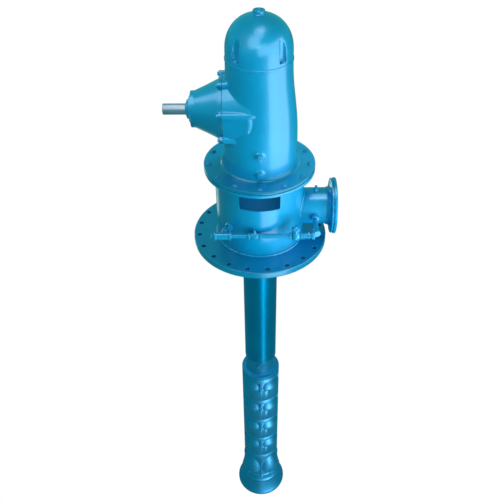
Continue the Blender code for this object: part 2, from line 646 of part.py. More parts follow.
def build_bell(axis):
    """Suction bell: lobed neck, flared mouth with a thick lip, and a bearing hub on four ribs."""
    top = BOWL_TOP - BOWL_PITCH * BOWLS
    rings = [(BOWL_RADIUS, top, None, 0.0), (BOWL_RADIUS, BELL_LOBES_TOP, 0.0, BELL_LOBE_RADIUS)]
    rings += [(rib, BELL_LOBES_TOP - drop, share, BELL_LOBE_RADIUS) for rib, drop, share in BELL_RIB_PROFILE]
    rings += [(radius, height, None, 0.0) for radius, height in BELL_PROFILE]
    rings += [(BELL_LIP_RADIUS, BELL_END + BELL_LIP[1], None, 0.0),
              (BELL_LIP_RADIUS - BELL_LIP[0], BELL_END, None, 0.0)]
    inner = list(BELL_MOUTH_PROFILE) + [(BELL_BORE, top)]
    bell = mesh_object("suction_bell", lobed_shell(rings, inner, LOBED), axis)
    hub_bottom, hub_top = SHAFT_BOTTOM - BELL_HUB_DROP, SHAFT_BOTTOM + BELL_HUB_RISE
    hub = turned([(JOURNAL_RADIUS, hub_bottom), (BELL_HUB_RADIUS - BELL_HUB_EDGE[0], hub_bottom),
                  (BELL_HUB_RADIUS, SHAFT_BOTTOM), (BELL_HUB_RADIUS - BELL_HUB_EDGE[1], hub_top),
                  (JOURNAL_RADIUS, hub_top)], SMALL)
    ribs = []
    for k in range(BELL_RIBS):
        rib = box(BELL_RIB_SIZE, (BELL_RIB_MIDDLE, 0.0, SHAFT_BOTTOM + BELL_RIB_LIFT))
        ribs.append(moved(rib, (0.0, 0.0, 0.0), "Z", 45.0 + 90.0 * k))
    shape_with(bell, "UNION", [hub] + ribs)
    low, edge = (SHAFT_BOTTOM - depth for depth in BELL_CAP_DEPTHS)
    mesh_object("bell_bearing_cap", turned([
        (0.0, low), (BELL_CAP_FACE, low), (BELL_CAP_RADIUS, edge), (BELL_CAP_RADIUS, hub_bottom - GAP),
        (0.0, hub_bottom - GAP)], SMALL), axis)


def build_rotor(axis):
    """Pump shaft in two lengths with its coupling, and the four impellers on it."""
    rotor = empty("pump_shaft_axis", (0.0, 0.0, 0.0), axis)
    mesh_object("line_shaft", rod(LINE_SHAFT_RADIUS, SHAFT_BOTTOM, SHAFT_JOINT, SMALL), rotor, "steel")
    mesh_object("head_shaft", rod(LINE_SHAFT_RADIUS, SHAFT_JOINT + GAP, HEAD_SHAFT_TOP, SMALL), rotor, "steel")
    sleeve = LINE_SHAFT_RADIUS + GAP
    edge = COUPLING_EDGE
    mesh_object("shaft_coupling", turned([
        (sleeve, COUPLING_BOTTOM), (COUPLING_RADIUS - edge, COUPLING_BOTTOM),
        (COUPLING_RADIUS, COUPLING_BOTTOM + edge), (COUPLING_RADIUS, COUPLING_TOP - edge),
        (COUPLING_RADIUS - edge, COUPLING_TOP), (sleeve, COUPLING_TOP)], SMALL), rotor, "steel")
    for number in range(BOWLS):
        eye = BOWL_TOP - BOWL_PITCH * (BOWLS - number) + IMPELLER_LIFT
        outline = [(radius, eye + height) for radius, height in IMPELLER_PROFILE]
        outline = [(sleeve, eye)] + outline + [(sleeve, outline[-1][1])]
        mesh_object(f"impeller_{number + 1}", turned(outline, SMALL), rotor, "bronze")


def build_bypass(axis):
    """Small relief piping from the discharge pipe, round the front, back into the barrel."""
    pipe = BYPASS_RADIUS
    socket = pipe + 2 * GAP
    front = -BYPASS_FRONT
    branch = empty("branch_axis", (BYPASS_X, 0.0, BYPASS_HEIGHT), axis, (math.radians(90), 0.0, 0.0))
    run = empty("run_axis", (0.0, BYPASS_FRONT, BYPASS_HEIGHT), axis, (0.0, math.radians(90), 0.0))

    root, edge = PIPE_RADIUS - 0.020, 0.004
    boss = mesh_object("branch_boss", turned([
        (0.0, root), (WELDOLET_RADIUS, root), (WELDOLET_RADIUS, WELDOLET_FACE - edge),
        (WELDOLET_RADIUS - edge, WELDOLET_FACE), (socket, WELDOLET_FACE), (socket, WELDOLET_SOCKET),
        (0.0, WELDOLET_SOCKET)], SMALL), branch)
    seat = rod(PIPE_RADIUS, -0.05, 0.05, MEDIUM)
    shape_with(boss, "DIFFERENCE", [moved(seat, (0.0, DISCHARGE_HEIGHT - BYPASS_HEIGHT, 0.0), "Y", 90)])
    mesh_object("branch_nipple", rod(pipe, WELDOLET_SOCKET + GAP, front - ELBOW_REACH + SOCKET - GAP, TINY), branch)

    elbow = empty("elbow_corner", (BYPASS_X, BYPASS_FRONT, BYPASS_HEIGHT), axis)
    bend = mesh_object("bypass_elbow", elbow_bend(), elbow)
    collars = [moved(rod(FITTING_COLLAR, COLLAR_START, ELBOW_REACH, SMALL), axis=arm, angle=-90)
               for arm in ("X", "Y")]
    shape_with(bend, "UNION", collars)
    sockets = [moved(rod(socket, ELBOW_REACH - SOCKET, ELBOW_REACH + 0.01, TINY), axis=arm, angle=-90)
               for arm in ("X", "Y")]
    shape_with(bend, "DIFFERENCE", sockets)

    right = BYPASS_X - ELBOW_REACH + SOCKET - GAP
    valve_right = VALVE_X + VALVE_HALF
    valve_left = VALVE_X - VALVE_HALF
    left = valve_right - SOCKET + GAP
    outline = [(0.0, left), (pipe, left), (pipe, UNION_PROFILE[0][1])] + list(UNION_PROFILE)
    outline += [(pipe, UNION_PROFILE[-1][1]), (pipe, right), (0.0, right)]
    mesh_object("bypass_union", turned(outline, TINY), run)

    valve = mesh_object("bypass_valve", fitting(valve_left, valve_right, VALVE_BELLY), run)
    shape_with(valve, "UNION", [moved(turned(BONNET_PROFILE, SMALL), (0.0, 0.0, VALVE_X), "Y", -90)])
    shape_with(valve, "DIFFERENCE", [rod(socket, valve_left - 0.01, valve_left + SOCKET, TINY),
                                     rod(socket, valve_right - SOCKET, valve_right + 0.01, TINY)])

    cock_right = COCK_X + COCK_HALF
    cock_left = COCK_X - COCK_HALF
    mesh_object("bypass_pipe_right", rod(pipe, cock_right - SOCKET + GAP, valve_left + SOCKET - GAP, TINY), run)
    cock = mesh_object("bypass_cock", fitting(cock_left, cock_right, COCK_BELLY), run)
    shape_with(cock, "UNION", [moved(turned(STEM_PROFILE, TINY), (0.0, 0.0, COCK_X), "Y", -90)])
    shape_with(cock, "DIFFERENCE", [rod(socket, cock_left - 0.01, cock_left + SOCKET, TINY),
                                    rod(socket, cock_right - SOCKET, cock_right + 0.01, TINY)])

    tee_right = TEE_X + TEE_HALF
    tee_left = TEE_X - TEE_HALF
    mesh_object("bypass_pipe_left", rod(pipe, tee_right - SOCKET + GAP, cock_left + SOCKET - GAP, TINY), run)
    band, step = TEE_BAND
    tee = mesh_object("bypass_tee", turned([
        (0.0, tee_left), (TEE_COLLAR, tee_left), (TEE_COLLAR, tee_left + band), (TEE_RADIUS, tee_left + step),
        (TEE_RADIUS, tee_right - step), (TEE_COLLAR, tee_right - band), (TEE_COLLAR, tee_right),
        (0.0, tee_right)], SMALL), run)
    outlet = empty("tee_branch_axis", (TEE_X, BYPASS_FRONT, BYPASS_HEIGHT), axis,
                   (math.radians(-90), 0.0, math.radians(-TEE_ANGLE)))
    shape_with(tee, "UNION", [into_run(turned(ARM_PROFILE, SMALL))])
    shape_with(tee, "DIFFERENCE", [rod(socket, tee_right - SOCKET, tee_right + 0.01, TINY),
                                   rod(socket, tee_left - 0.01, tee_left + SOCKET, TINY),
                                   into_run(rod(socket, TEE_REACH - SOCKET, TEE_REACH + 0.01, TINY))])
    plug, depth = TEE_PLUG
    mesh_object("tee_plug", turned([
        (0.0, tee_left + SOCKET - GAP), (pipe, tee_left + SOCKET - GAP), (pipe, tee_left - GAP),
        (plug, tee_left - GAP), (plug, tee_left - depth), (0.0, tee_left - depth)], 6), run)

    grooves = [(0.0, TEE_REACH - SOCKET + GAP), (pipe, TEE_REACH - SOCKET + GAP), (pipe, TEE_REACH + NIPPLE_END)]
    pitch = (BARREL_TAP - TEE_REACH - 3 * NIPPLE_END) / NIPPLE_RIBS
    for k in range(NIPPLE_RIBS):
        start = TEE_REACH + NIPPLE_END + pitch * k
        middle = start + pitch * 0.5
        grooves += [(NIPPLE_RIB_RADIUS, start), (NIPPLE_RIB_RADIUS, middle), (pipe, middle), (pipe, start + pitch)]
    grooves += [(pipe, BARREL_TAP + SOCKET - GAP), (0.0, BARREL_TAP + SOCKET - GAP)]
    mesh_object("tee_nipple", turned(grooves, TINY), outlet)
    tap = mesh_object("barrel_boss", turned([
        (0.0, BARREL_TAP + SOCKET), (socket, BARREL_TAP + SOCKET), (socket, BARREL_TAP),
        (TAP_BOSS_RADIUS - TAP_BOSS_EDGE, BARREL_TAP), (TAP_BOSS_RADIUS, BARREL_TAP + TAP_BOSS_EDGE),
        (TAP_BOSS_RADIUS, TAP_BOSS_END), (0.0, TAP_BOSS_END)], SMALL), outlet)
    barrel = rod(BARREL_RADIUS + GAP, 0.1, 0.4, WIDE)
    bmesh.ops.transform(barrel, matrix=outlet_frame().inverted(), verts=barrel.verts)
    shape_with(tap, "DIFFERENCE", [barrel])


def fitting(left, right, belly):
    """A round-bellied pipe fitting with a collar at each end."""
    middle, half = (left + right) / 2, (right - left) / 2
    neck = BYPASS_RADIUS + COLLAR_NECK
    band, step = COLLAR_WIDTH, COLLAR_WIDTH + 0.001
    reach = half - step - COLLAR_NECK
    outline = [(0.0, left), (FITTING_COLLAR, left), (FITTING_COLLAR, left + band), (neck, left + step)]
    for k in range(FITTING_STEPS + 1):
        a = math.pi * (k / FITTING_STEPS - 0.5)
        outline.append((neck + (belly - neck) * math.cos(a), middle + reach * math.sin(a)))
    outline += [(neck, right - step), (FITTING_COLLAR, right - band), (FITTING_COLLAR, right), (0.0, right)]
    return turned(outline, SMALL)


def elbow_bend():
    """A quarter bend from +Y round to -X about the corner."""
    bm = bmesh.new()
    loops = []
    for k in range(ELBOW_STEPS + 1):
        a = math.radians(90.0 * k / ELBOW_STEPS)
        centre = Vector((-ELBOW_BEND + ELBOW_BEND * math.cos(a), ELBOW_BEND - ELBOW_BEND * math.sin(a), 0.0))
        out = Vector((math.cos(a), -math.sin(a), 0.0))
        loops.append([bm.verts.new(centre + out * (ELBOW_RADIUS * x) + Vector((0.0, 0.0, ELBOW_RADIUS * y)))
                      for x, y in polygon(1.0, SMALL)])
    for near, far in zip(loops, loops[1:]):
        for k in range(SMALL):
            n = (k + 1) % SMALL
            bm.faces.new([near[k], near[n], far[n], far[k]])
    bm.faces.new(loops[0])
    bm.faces.new(loops[-1])
    return bm


def outlet_frame():
    """The tee's branch direction, from the pump's axis."""
    place = Matrix.Translation((TEE_X, BYPASS_FRONT, BYPASS_HEIGHT))
    return (place @ Matrix.Rotation(math.radians(-TEE_ANGLE), 4, "Z")
            @ Matrix.Rotation(math.radians(-90), 4, "X"))


def into_run(bm):
    """Carries a body from the tee's branch direction into the frame of the run."""
    run = Matrix.Translation((0.0, BYPASS_FRONT, BYPASS_HEIGHT)) @ Matrix.Rotation(math.radians(90), 4, "Y")
    bmesh.ops.transform(bm, matrix=run.inverted() @ outlet_frame(), verts=bm.verts)
    return bm


def main():
    """Builds every piece round the pump's axis."""
    clear_scene()
    axis = empty("pump_axis", (0.0, BOLT_CIRCLE, 0.0))
    build_base(axis)
    build_head(axis)
    build_discharge(axis)
    build_gear_drive(axis)
    build_input(axis)
    build_column(axis)
    build_bowls(axis)
    build_bell(axis)
    build_rotor(axis)
    build_bypass(axis)


main()
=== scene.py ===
"""Looks of the vertical turbine pump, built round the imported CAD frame.

Laid out as a Blender add-on and run as a script. Metres, +Z up. The pump's axis is parallel to Z,
the discharge leaves along +X, the input shaft along -X, and the bypass piping faces -Y.
"""
import json
import math

import bpy
from bpy.props import FloatProperty, FloatVectorProperty, IntProperty, PointerProperty
from mathutils import Matrix, Vector

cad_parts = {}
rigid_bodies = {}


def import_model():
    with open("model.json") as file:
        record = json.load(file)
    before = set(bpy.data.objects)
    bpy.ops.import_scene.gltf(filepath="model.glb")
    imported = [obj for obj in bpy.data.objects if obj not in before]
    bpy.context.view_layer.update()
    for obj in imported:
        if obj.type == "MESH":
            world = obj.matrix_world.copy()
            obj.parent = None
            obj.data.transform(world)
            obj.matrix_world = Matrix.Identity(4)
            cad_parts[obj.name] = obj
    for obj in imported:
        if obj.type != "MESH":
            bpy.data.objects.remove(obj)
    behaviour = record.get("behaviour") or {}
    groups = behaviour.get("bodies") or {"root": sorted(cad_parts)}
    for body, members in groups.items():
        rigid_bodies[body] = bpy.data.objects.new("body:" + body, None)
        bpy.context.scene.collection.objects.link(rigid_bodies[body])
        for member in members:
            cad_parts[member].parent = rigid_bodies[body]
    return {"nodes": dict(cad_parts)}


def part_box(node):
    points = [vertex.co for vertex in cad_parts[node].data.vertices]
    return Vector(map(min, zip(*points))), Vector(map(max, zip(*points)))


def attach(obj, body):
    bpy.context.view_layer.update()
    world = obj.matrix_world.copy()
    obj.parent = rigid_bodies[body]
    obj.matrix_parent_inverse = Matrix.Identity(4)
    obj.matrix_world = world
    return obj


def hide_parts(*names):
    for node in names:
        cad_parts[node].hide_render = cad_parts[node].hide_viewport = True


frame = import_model()

bl_info = {
    "name": "Vertical turbine pump",
    "version": (1, 0, 0),
    "blender": (4, 5, 0),
    "location": "View3D > Sidebar > Pump",
    "description": "Models and finishes the pump's visible pieces round its CAD frame",
    "category": "Object",
}

# Where the pump stands and how high its main pieces are, read from the frame
BASE_LOW, BASE_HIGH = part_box("base_flange")
AXIS_X = (BASE_LOW.x + BASE_HIGH.x) / 2
AXIS_Y = (BASE_LOW.y + BASE_HIGH.y) / 2
BASE_RADIUS = (BASE_HIGH.x - BASE_LOW.x) / 2
BASE_TOP = BASE_HIGH.z
DRIVE_FLANGE_LOW, DRIVE_FLANGE_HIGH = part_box("head_top_flange")
DRIVE_FLANGE_RADIUS = (DRIVE_FLANGE_HIGH.x - DRIVE_FLANGE_LOW.x) / 2

# Gear drive, heights from the base's underside
DRIVE_FLANGE_TOP = 0.532
CASE_PROFILE = ((0.541, 0.2105), (0.56, 0.2078), (0.62, 0.2074), (0.692, 0.207), (0.745, 0.2056), (0.794, 0.2033),
                (0.835, 0.1998), (0.871, 0.1957), (0.928, 0.1888), (0.984, 0.1815), (1.034, 0.177), (1.08, 0.1742),
                (1.129, 0.173))
CASE_TOP = 1.129
SEAM_TOP = 1.143
COVER_RADIUS = 0.1725
COVER_SKIRT_TOP = 1.178
COVER_TOP = 1.3565
COVER_FULLNESS = 0.92
POCKET_CIRCLE = 0.1725
POCKET_RADIUS = 0.0225
POCKET_FLOOR = 1.16
POCKET_ANGLES = (-47.0, -133.0, 47.0, 133.0)
PLUG_HEIGHTS = (0.5745, 0.683)
DRIVE_BOLTS = 13
DRIVE_BOLT_CIRCLE = 0.281

# Input side, distances along -X from the pump's axis
INPUT_HEIGHT = 0.853
DRUM_FACE = 0.1885
EARS = 7
EAR_CIRCLE = 0.18
EAR_RADIUS = 0.0175
EAR_PHASE = 15.7
RIB_LEAN = -5.0
CARTRIDGE_RADIUS = 0.168
CARTRIDGE_FLANGE = 0.21
NOSE_FACE = 0.361
SHAFT_RADIUS = 0.0292
SHAFT_END = 0.51

# Discharge head
BARREL_RADIUS = 0.254
BARREL_WALL = 0.012
BARREL_TOP = 0.4907
WINDOW_WIDTH = 0.224
WINDOW_BOTTOM = 0.365
WINDOW_TOP = 0.478
DISCHARGE_HEIGHT = 0.2215
PIPE_RADIUS = 0.1072
PIPE_BORE = 0.0995
PIPE_START = 0.206
PIPE_MIDDLE = 0.3
HUB_START = 0.39
OUTLET_HOLES = 8
OUTLET_HOLE_RADIUS = 0.011
OUTLET_HOLE_CIRCLE = 0.141
TAP_POSITION = 0.3255
BASE_HOLES = 20
BASE_HOLE_RADIUS = 0.013
BASE_HOLE_PHASE = -83.1
BOLT_CIRCLE = 0.365

# Below the base
COLUMN_RADIUS = 0.108
COLUMN_BORE = 0.1
COLUMN_END = -1.071
COLUMN_BOLTS = 12
COLUMN_BOLT_CIRCLE = 0.145
NECK_RADIUS = 0.1045
NECK_END = -1.21
BOWL_RADIUS = 0.1345
BOWL_TOP = -1.232
BOWLS = 4
BOWL_PITCH = 0.24
SLEEVE_BORE = 0.0232
LOBE_START = 0.04
LOBE_LENGTH = 0.098
RIB_HALF = math.radians(1.5)
RIB_EASE = math.radians(2.6)
BOWL_WALL = (0.13, 0.1065)
BOWL_LOBE = (0.14, math.radians(37.0), 0.026, 0.068, 0.04)
BELL_LOBE_TOP = -2.236
BELL_LOBE_LENGTH = 0.24
BELL_WALL = (0.142, 0.112)
BELL_LOBE = (0.161, math.radians(41.0), 0.08, 0.125, 0.078)
BELL_END = -2.702

# Bypass piping
RUN_HEIGHT = 0.2162
RUN_FRONT = -0.28
TUBE_RADIUS = 0.0133
BRANCH_X = 0.3195
VALVE_X = 0.2
COCK_X = -0.03
TEE_X = -0.2076
TEE_ANGLE = 20.0

# Sides of turned pieces
ROUND = 128
NEAR_ROUND = 64
SMALL_ROUND = 32

# Widest angles in degrees that still shade smooth: on most pieces, on castings, on lobes and on weld beads
SMOOTH_ANGLE = 32.0
CAST_ANGLE = 40.0
LOBE_ANGLE = 50.0
BEAD_ANGLE = 60.0

# The gap between touching pieces, and how close two heights count as the same
GAP = 0.0004
CLOSE = 0.00005

# The camera's roll in degrees and its shift, as fitted to the photograph
CAMERA_ROLL = -0.27
CAMERA_SHIFT = -0.02

# Enamels: depth of the lumps as a share of the casting grain, their scale, how far they stretch along each axis,
# how metallic and how clear the enamel is, and its roughness as a share of the common one
EVEN = (1.0, 1.0, 1.0)
DRAWN = (1.0, 1.0, 0.15)
ENAMELS = {
    "cast_enamel": (1.0, 42.0),
    "plate_enamel": (0.35, 60.0, EVEN, 0.2, 0.8),
    "pipe_enamel": (0.3, 30.0, DRAWN),
    "column_enamel": (0.3, 30.0, DRAWN, 0.85, 0.0),
    "bowl_enamel": (0.2, 30.0, EVEN, 0.5, 0.4, 1.6),
    "bolt_enamel": (0.3, 160.0),
    "weld_enamel": (0.8, 120.0),
}

# Steels: the stretch that turns noise into fine rings round the shaft
STEELS = {"shaft_steel": (1.0, 0.04, 0.04), "line_shaft_steel": (0.04, 0.04, 1.0)}


class PumpColours(bpy.types.PropertyGroup):
    """Colours of the enamel and of the bare metals."""
    enamel_light: FloatVectorProperty(
        name="Enamel", description="Main colour of the enamel", subtype="COLOR", size=4, min=0.0, max=1.0,
        default=(0.0, 0.335, 0.7, 1.0))
    enamel_deep: FloatVectorProperty(
        name="Enamel, deep", description="Colour where the enamel lies thick", subtype="COLOR", size=4, min=0.0,
        max=1.0, default=(0.0, 0.285, 0.6, 1.0))
    # Lighter enamel along edges: partly worn thin paint, partly a painted highlight where edges would catch the
    # light
    enamel_edge_wear_and_sheen: FloatVectorProperty(
        name="Enamel, worn", description="Colour where the enamel is thin, along edges", subtype="COLOR", size=4,
        min=0.0, max=1.0, default=(0.1, 0.46, 0.8, 1.0))
    steel: FloatVectorProperty(
        name="Steel", description="Ground steel of the shafts", subtype="COLOR", size=4, min=0.0, max=1.0,
        default=(0.64, 0.5, 0.67, 1.0))
    steel_dull: FloatVectorProperty(
        name="Steel, dull", description="Oil stain on the shafts", subtype="COLOR", size=4, min=0.0, max=1.0,
        default=(0.4, 0.31, 0.42, 1.0))
    bronze: FloatVectorProperty(
        name="Bronze", description="Bronze of the gland and the impellers", subtype="COLOR", size=4, min=0.0,
        max=1.0, default=(0.5, 0.32, 0.14, 1.0))
    bronze_dull: FloatVectorProperty(
        name="Bronze, dull", description="Tarnish on the bronze", subtype="COLOR", size=4, min=0.0, max=1.0,
        default=(0.23, 0.16, 0.08, 1.0))


class PumpFinish(bpy.types.PropertyGroup):
    """Sizes of the finish and of the small details."""
    gloss: FloatProperty(
        name="Roughness", description="Roughness of the enamel where it is cleanest", min=0.05, max=1.0,
        default=0.3)
    # Width of the lighter band along edges, which is partly worn paint and partly a painted edge highlight
    edge_wear_and_sheen_width: FloatProperty(
        name="Edge width", description="Width of the thin enamel along edges", min=0.0005, max=0.01, default=0.0022,
        unit="LENGTH")
    grain: FloatProperty(
        name="Casting grain", description="Depth of the casting's lumps", min=0.0, max=0.005, default=0.0012,
        unit="LENGTH")
    bolt_flats: FloatProperty(
        name="Bolt size", description="Half width over the corners of the drive flange's bolts", min=0.004,
        max=0.03, default=0.0125, unit="LENGTH")
    casting_cell: FloatProperty(
        name="Casting cell", description="Cell size that rounds the cast pieces", min=0.002, max=0.02,
        default=0.0037, unit="LENGTH")
    weld_ripples: IntProperty(
        name="Weld ripples", description="Ripples round the barrel's foot weld", min=24, max=600, default=220)


class PumpStage(bpy.types.PropertyGroup):
    """Camera, lights and floor."""
    lens: FloatProperty(
        name="Lens", description="Focal length for a 36 mm sensor", min=10.0, max=200.0, default=46.44)
    distance: FloatProperty(
        name="Distance", description="Camera's distance in front of the pump's axis", min=1.0, max=20.0,
        default=3.087, unit="LENGTH")
    height: FloatProperty(
        name="Height", description="Camera's height over the base's underside", min=-5.0, max=20.0, default=2.4695,
        unit="LENGTH")
    tilt: FloatProperty(
        name="Tilt", description="Angle from looking straight down", min=0.0, max=math.pi,
        default=math.radians(50.0), subtype="ANGLE")
    key: FloatProperty(
        name="Key light", description="Power of the soft light at the right front, in watts", min=0.0, max=5000.0,
        default=66.0)
    fill: FloatProperty(
        name="Fill light", description="Power of the soft light at the left front, in watts", min=0.0, max=5000.0,
        default=17.0)
    shaft_light: FloatProperty(
        name="Shaft light", description="Power of the light on the bare shaft, in watts", min=0.0, max=5000.0,
        default=2.5)
    shaft_panel: FloatProperty(
        name="Shaft panel", description="Radiance of the panel that shows along the bare shaft", min=0.0, max=50.0,
        default=3.4)
    window_light: FloatProperty(
        name="Window light", description="Power of the light inside the barrel, in watts", min=0.0, max=100.0,
        default=0.1)
    dome_panel: FloatProperty(
        name="Dome panel", description="Radiance of the panels that show on the domed cover", min=0.0, max=50.0,
        default=1.3)
    plate_light: FloatProperty(
        name="Plate light", description="Power of the back light on the gear flange, in watts", min=0.0, max=5000.0,
        default=38.0)
    rim_light: FloatProperty(
        name="Rim light", description="Power of the low light on the plates' rims, in watts", min=0.0, max=5000.0,
        default=31.0)
    panel: FloatProperty(
        name="Gloss panel", description="Radiance of the wide panel that shows as gloss", min=0.0, max=50.0,
        default=1.4)
    low_panel: FloatProperty(
        name="Low gloss panel", description="Radiance of the panel that shows on the barrel", min=0.0, max=50.0,
        default=1.85)
    line: FloatProperty(
        name="Column line", description="Radiance of the narrow strip that shows down the column", min=0.0,
        max=50.0, default=2.2)
    ceiling: FloatProperty(
        name="Ceiling panel", description="Radiance of the panels overhead that show as gloss", min=0.0, max=50.0,
        default=1.5)
    back: FloatProperty(
        name="Back strip", description="Radiance of the strip at the left back", min=0.0, max=50.0, default=0.9)
    bell_panel: FloatProperty(
        name="Bell panel", description="Radiance of the panel that shows on the lobes and the lip", min=0.0,
        max=50.0, default=18.0)
    floor_strip: FloatProperty(
        name="Floor strip", description="Radiance of the strips that show on the bowls' rings", min=0.0, max=50.0,
        default=0.7)
    disc_panel: FloatProperty(
        name="Disc panel", description="Radiance of the panel that shows on the outlet's rim", min=0.0, max=50.0,
        default=1.2)
    sky: FloatProperty(
        name="Sky", description="Strength of the even light from all round", min=0.0, max=3.0, default=0.52)


# Modelling steps

def leave_all():
    """Leaves edit mode with nothing selected."""
    if bpy.context.object and bpy.context.object.mode != "OBJECT":
        bpy.ops.object.mode_set(mode="OBJECT")
    bpy.ops.object.select_all(action="DESELECT")


def pick(*objects):
    """Selects only these objects and makes the first one active."""
    leave_all()
    for thing in objects:
        thing.select_set(True)
    bpy.context.view_layer.objects.active = objects[0]


def apply_place():
    """Puts the selected piece's place, turn and size into its mesh."""
    bpy.ops.object.transform_apply(location=True, rotation=True, scale=True)


def named(name):
    """Names the object that an operator has just made, and its mesh."""
    piece = bpy.context.object
    piece.name = name
    piece.data.name = name
    return piece


def turned(name, rings, sides, hollow=False):
    """Turns a body on Z: a circle at the first (radius, height), extruded and resized ring by ring.

    A hollow body's last ring is bridged to its first, and any other is filled at both ends."""
    leave_all()
    radius, height = rings[0]
    bpy.ops.mesh.primitive_circle_add(
        vertices=sides, radius=radius, location=(0.0, 0.0, height), fill_type="NOTHING")
    piece = named(name)
    apply_place()
    bpy.ops.object.mode_set(mode="EDIT")
    bpy.ops.mesh.select_all(action="SELECT")
    for (near, low), (far, high) in zip(rings, rings[1:]):
        bpy.ops.mesh.extrude_region_move(TRANSFORM_OT_translate={"value": (0.0, 0.0, high - low)})
        if far != near:
            bpy.ops.transform.resize(value=(far / near, far / near, 1.0), center_override=(0.0, 0.0, high))
    if hollow:
        bpy.ops.mesh.select_all(action="DESELECT")
        bpy.ops.mesh.select_non_manifold()
        bpy.ops.mesh.bridge_edge_loops()
    else:
        bpy.ops.mesh.select_all(action="SELECT")
        bpy.ops.mesh.fill_holes(sides=0)
    face_outward()
    return piece


def face_outward():
    """Turns every face of the body in edit mode outward and leaves edit mode."""
    bpy.ops.mesh.select_all(action="SELECT")
    bpy.ops.mesh.normals_make_consistent(inside=False)
    leave_all()


def place(piece, location=(0.0, 0.0, 0.0), tilt=(0.0, 0.0, 0.0)):
    """Turns a piece by angles in degrees, moves it, and puts both into its mesh."""
    pick(piece)
    piece.rotation_euler = [math.radians(a) for a in tilt]
    piece.location = location
    apply_place()
    return piece


def block(name, size, centre):
    """A box of a given size about its centre, to be shaped further."""
    leave_all()
    bpy.ops.mesh.primitive_cube_add(size=1.0, location=centre)
    piece = named(name)
    piece.scale = size
    apply_place()
    return piece


def applied(piece, kind, **settings):
    """Gives a piece a modifier and applies it."""
    pick(piece)
    modifier = piece.modifiers.new(kind.title(), kind)
    for key, value in settings.items():
        setattr(modifier, key, value)
    bpy.ops.object.modifier_apply(modifier=modifier.name)
    return piece


def eased(piece, width, segments=3, angle=30.0):
    """Rounds a piece's sharp edges."""
    return applied(
        piece, "BEVEL", width=width, segments=segments, limit_method="ANGLE", angle_limit=math.radians(angle),
        miter_outer="MITER_ARC")


def united(name, parts):
    """Several pieces as one object."""
    pick(*parts)
    if len(parts) > 1:
        bpy.ops.object.join()
    piece = bpy.context.object
    piece.name = name
    piece.data.name = name
    return piece


def cut(piece, tool, operation="DIFFERENCE"):
    """Takes a tool out of a piece, or adds it, and removes the tool."""
    applied(piece, "BOOLEAN", object=tool, operation=operation, solver="EXACT")
    bpy.data.objects.remove(tool, do_unlink=True)
    return piece


def sawn(piece, point, normal):
    """Cuts a piece flat at a plane and fills the cut; what lies on the normal's side goes."""
    pick(piece)
    bpy.ops.object.mode_set(mode="EDIT")
    bpy.ops.mesh.select_all(action="SELECT")
    bpy.ops.mesh.bisect(plane_co=point, plane_no=normal, use_fill=True, clear_outer=True)
    leave_all()
    return piece


def cast(piece, cell, smoothing=4):
    """Gives a piece the soft corners of a casting."""
    applied(piece, "REMESH", mode="VOXEL", voxel_size=cell, use_smooth_shade=True)
    return applied(piece, "SMOOTH", factor=0.5, iterations=smoothing)


def ring_of(piece, count, circle, phase=0.0, height=0.0):
    """Copies of a small piece round a circle about Z, each with its own mesh, joined into one."""
    copies = []
    for k in range(count):
        a = math.radians(phase + 360.0 * k / count)
        spot = (circle * math.cos(a), circle * math.sin(a), height)
        copies.append(copy_to(piece, Matrix.Translation(spot) @ Matrix.Rotation(a, 4, "Z")))
    bpy.data.objects.remove(piece, do_unlink=True)
    return united(copies[0].name, copies)


def copy_to(piece, matrix):
    """A copy of a piece with a mesh of its own, at a matrix that is put into the mesh."""
    other = piece.copy()
    other.data = piece.data.copy()
    bpy.context.collection.objects.link(other)
    pick(other)
    other.matrix_world = matrix
    apply_place()
    return other


def done(piece, look, *replaces, body="frame", slot="blue_enamel", uneven=None):
    """Shades a finished piece, gives it its look and body, and hides the frame's nodes it stands for.

    A piece without true flats gives, as uneven, the widest angle in degrees that still shades smooth."""
    pick(piece)
    bpy.ops.object.shade_smooth_by_angle(angle=math.radians(uneven or SMOOTH_ANGLE))
    if uneven is None:
        applied(piece, "WEIGHTED_NORMAL", mode="FACE_AREA", keep_sharp=True)
    piece.data.materials.clear()
    piece.data.materials.append(finish_named(look))
    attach(piece, body)
    if replaces:
        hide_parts(*replaces)
    return piece


def settle(piece, look, *replaces, at=None, tilt=(0.0, 0.0, 0.0), **settings):
    """Moves a piece from the origin to its place, which is the pump's axis if none is given, and finishes it."""
    return done(place(piece, at or on_axis(), tilt), look, *replaces, **settings)


def on_axis(height=0.0):
    """A point on the pump's axis."""
    return (AXIS_X, AXIS_Y, height)


# Materials

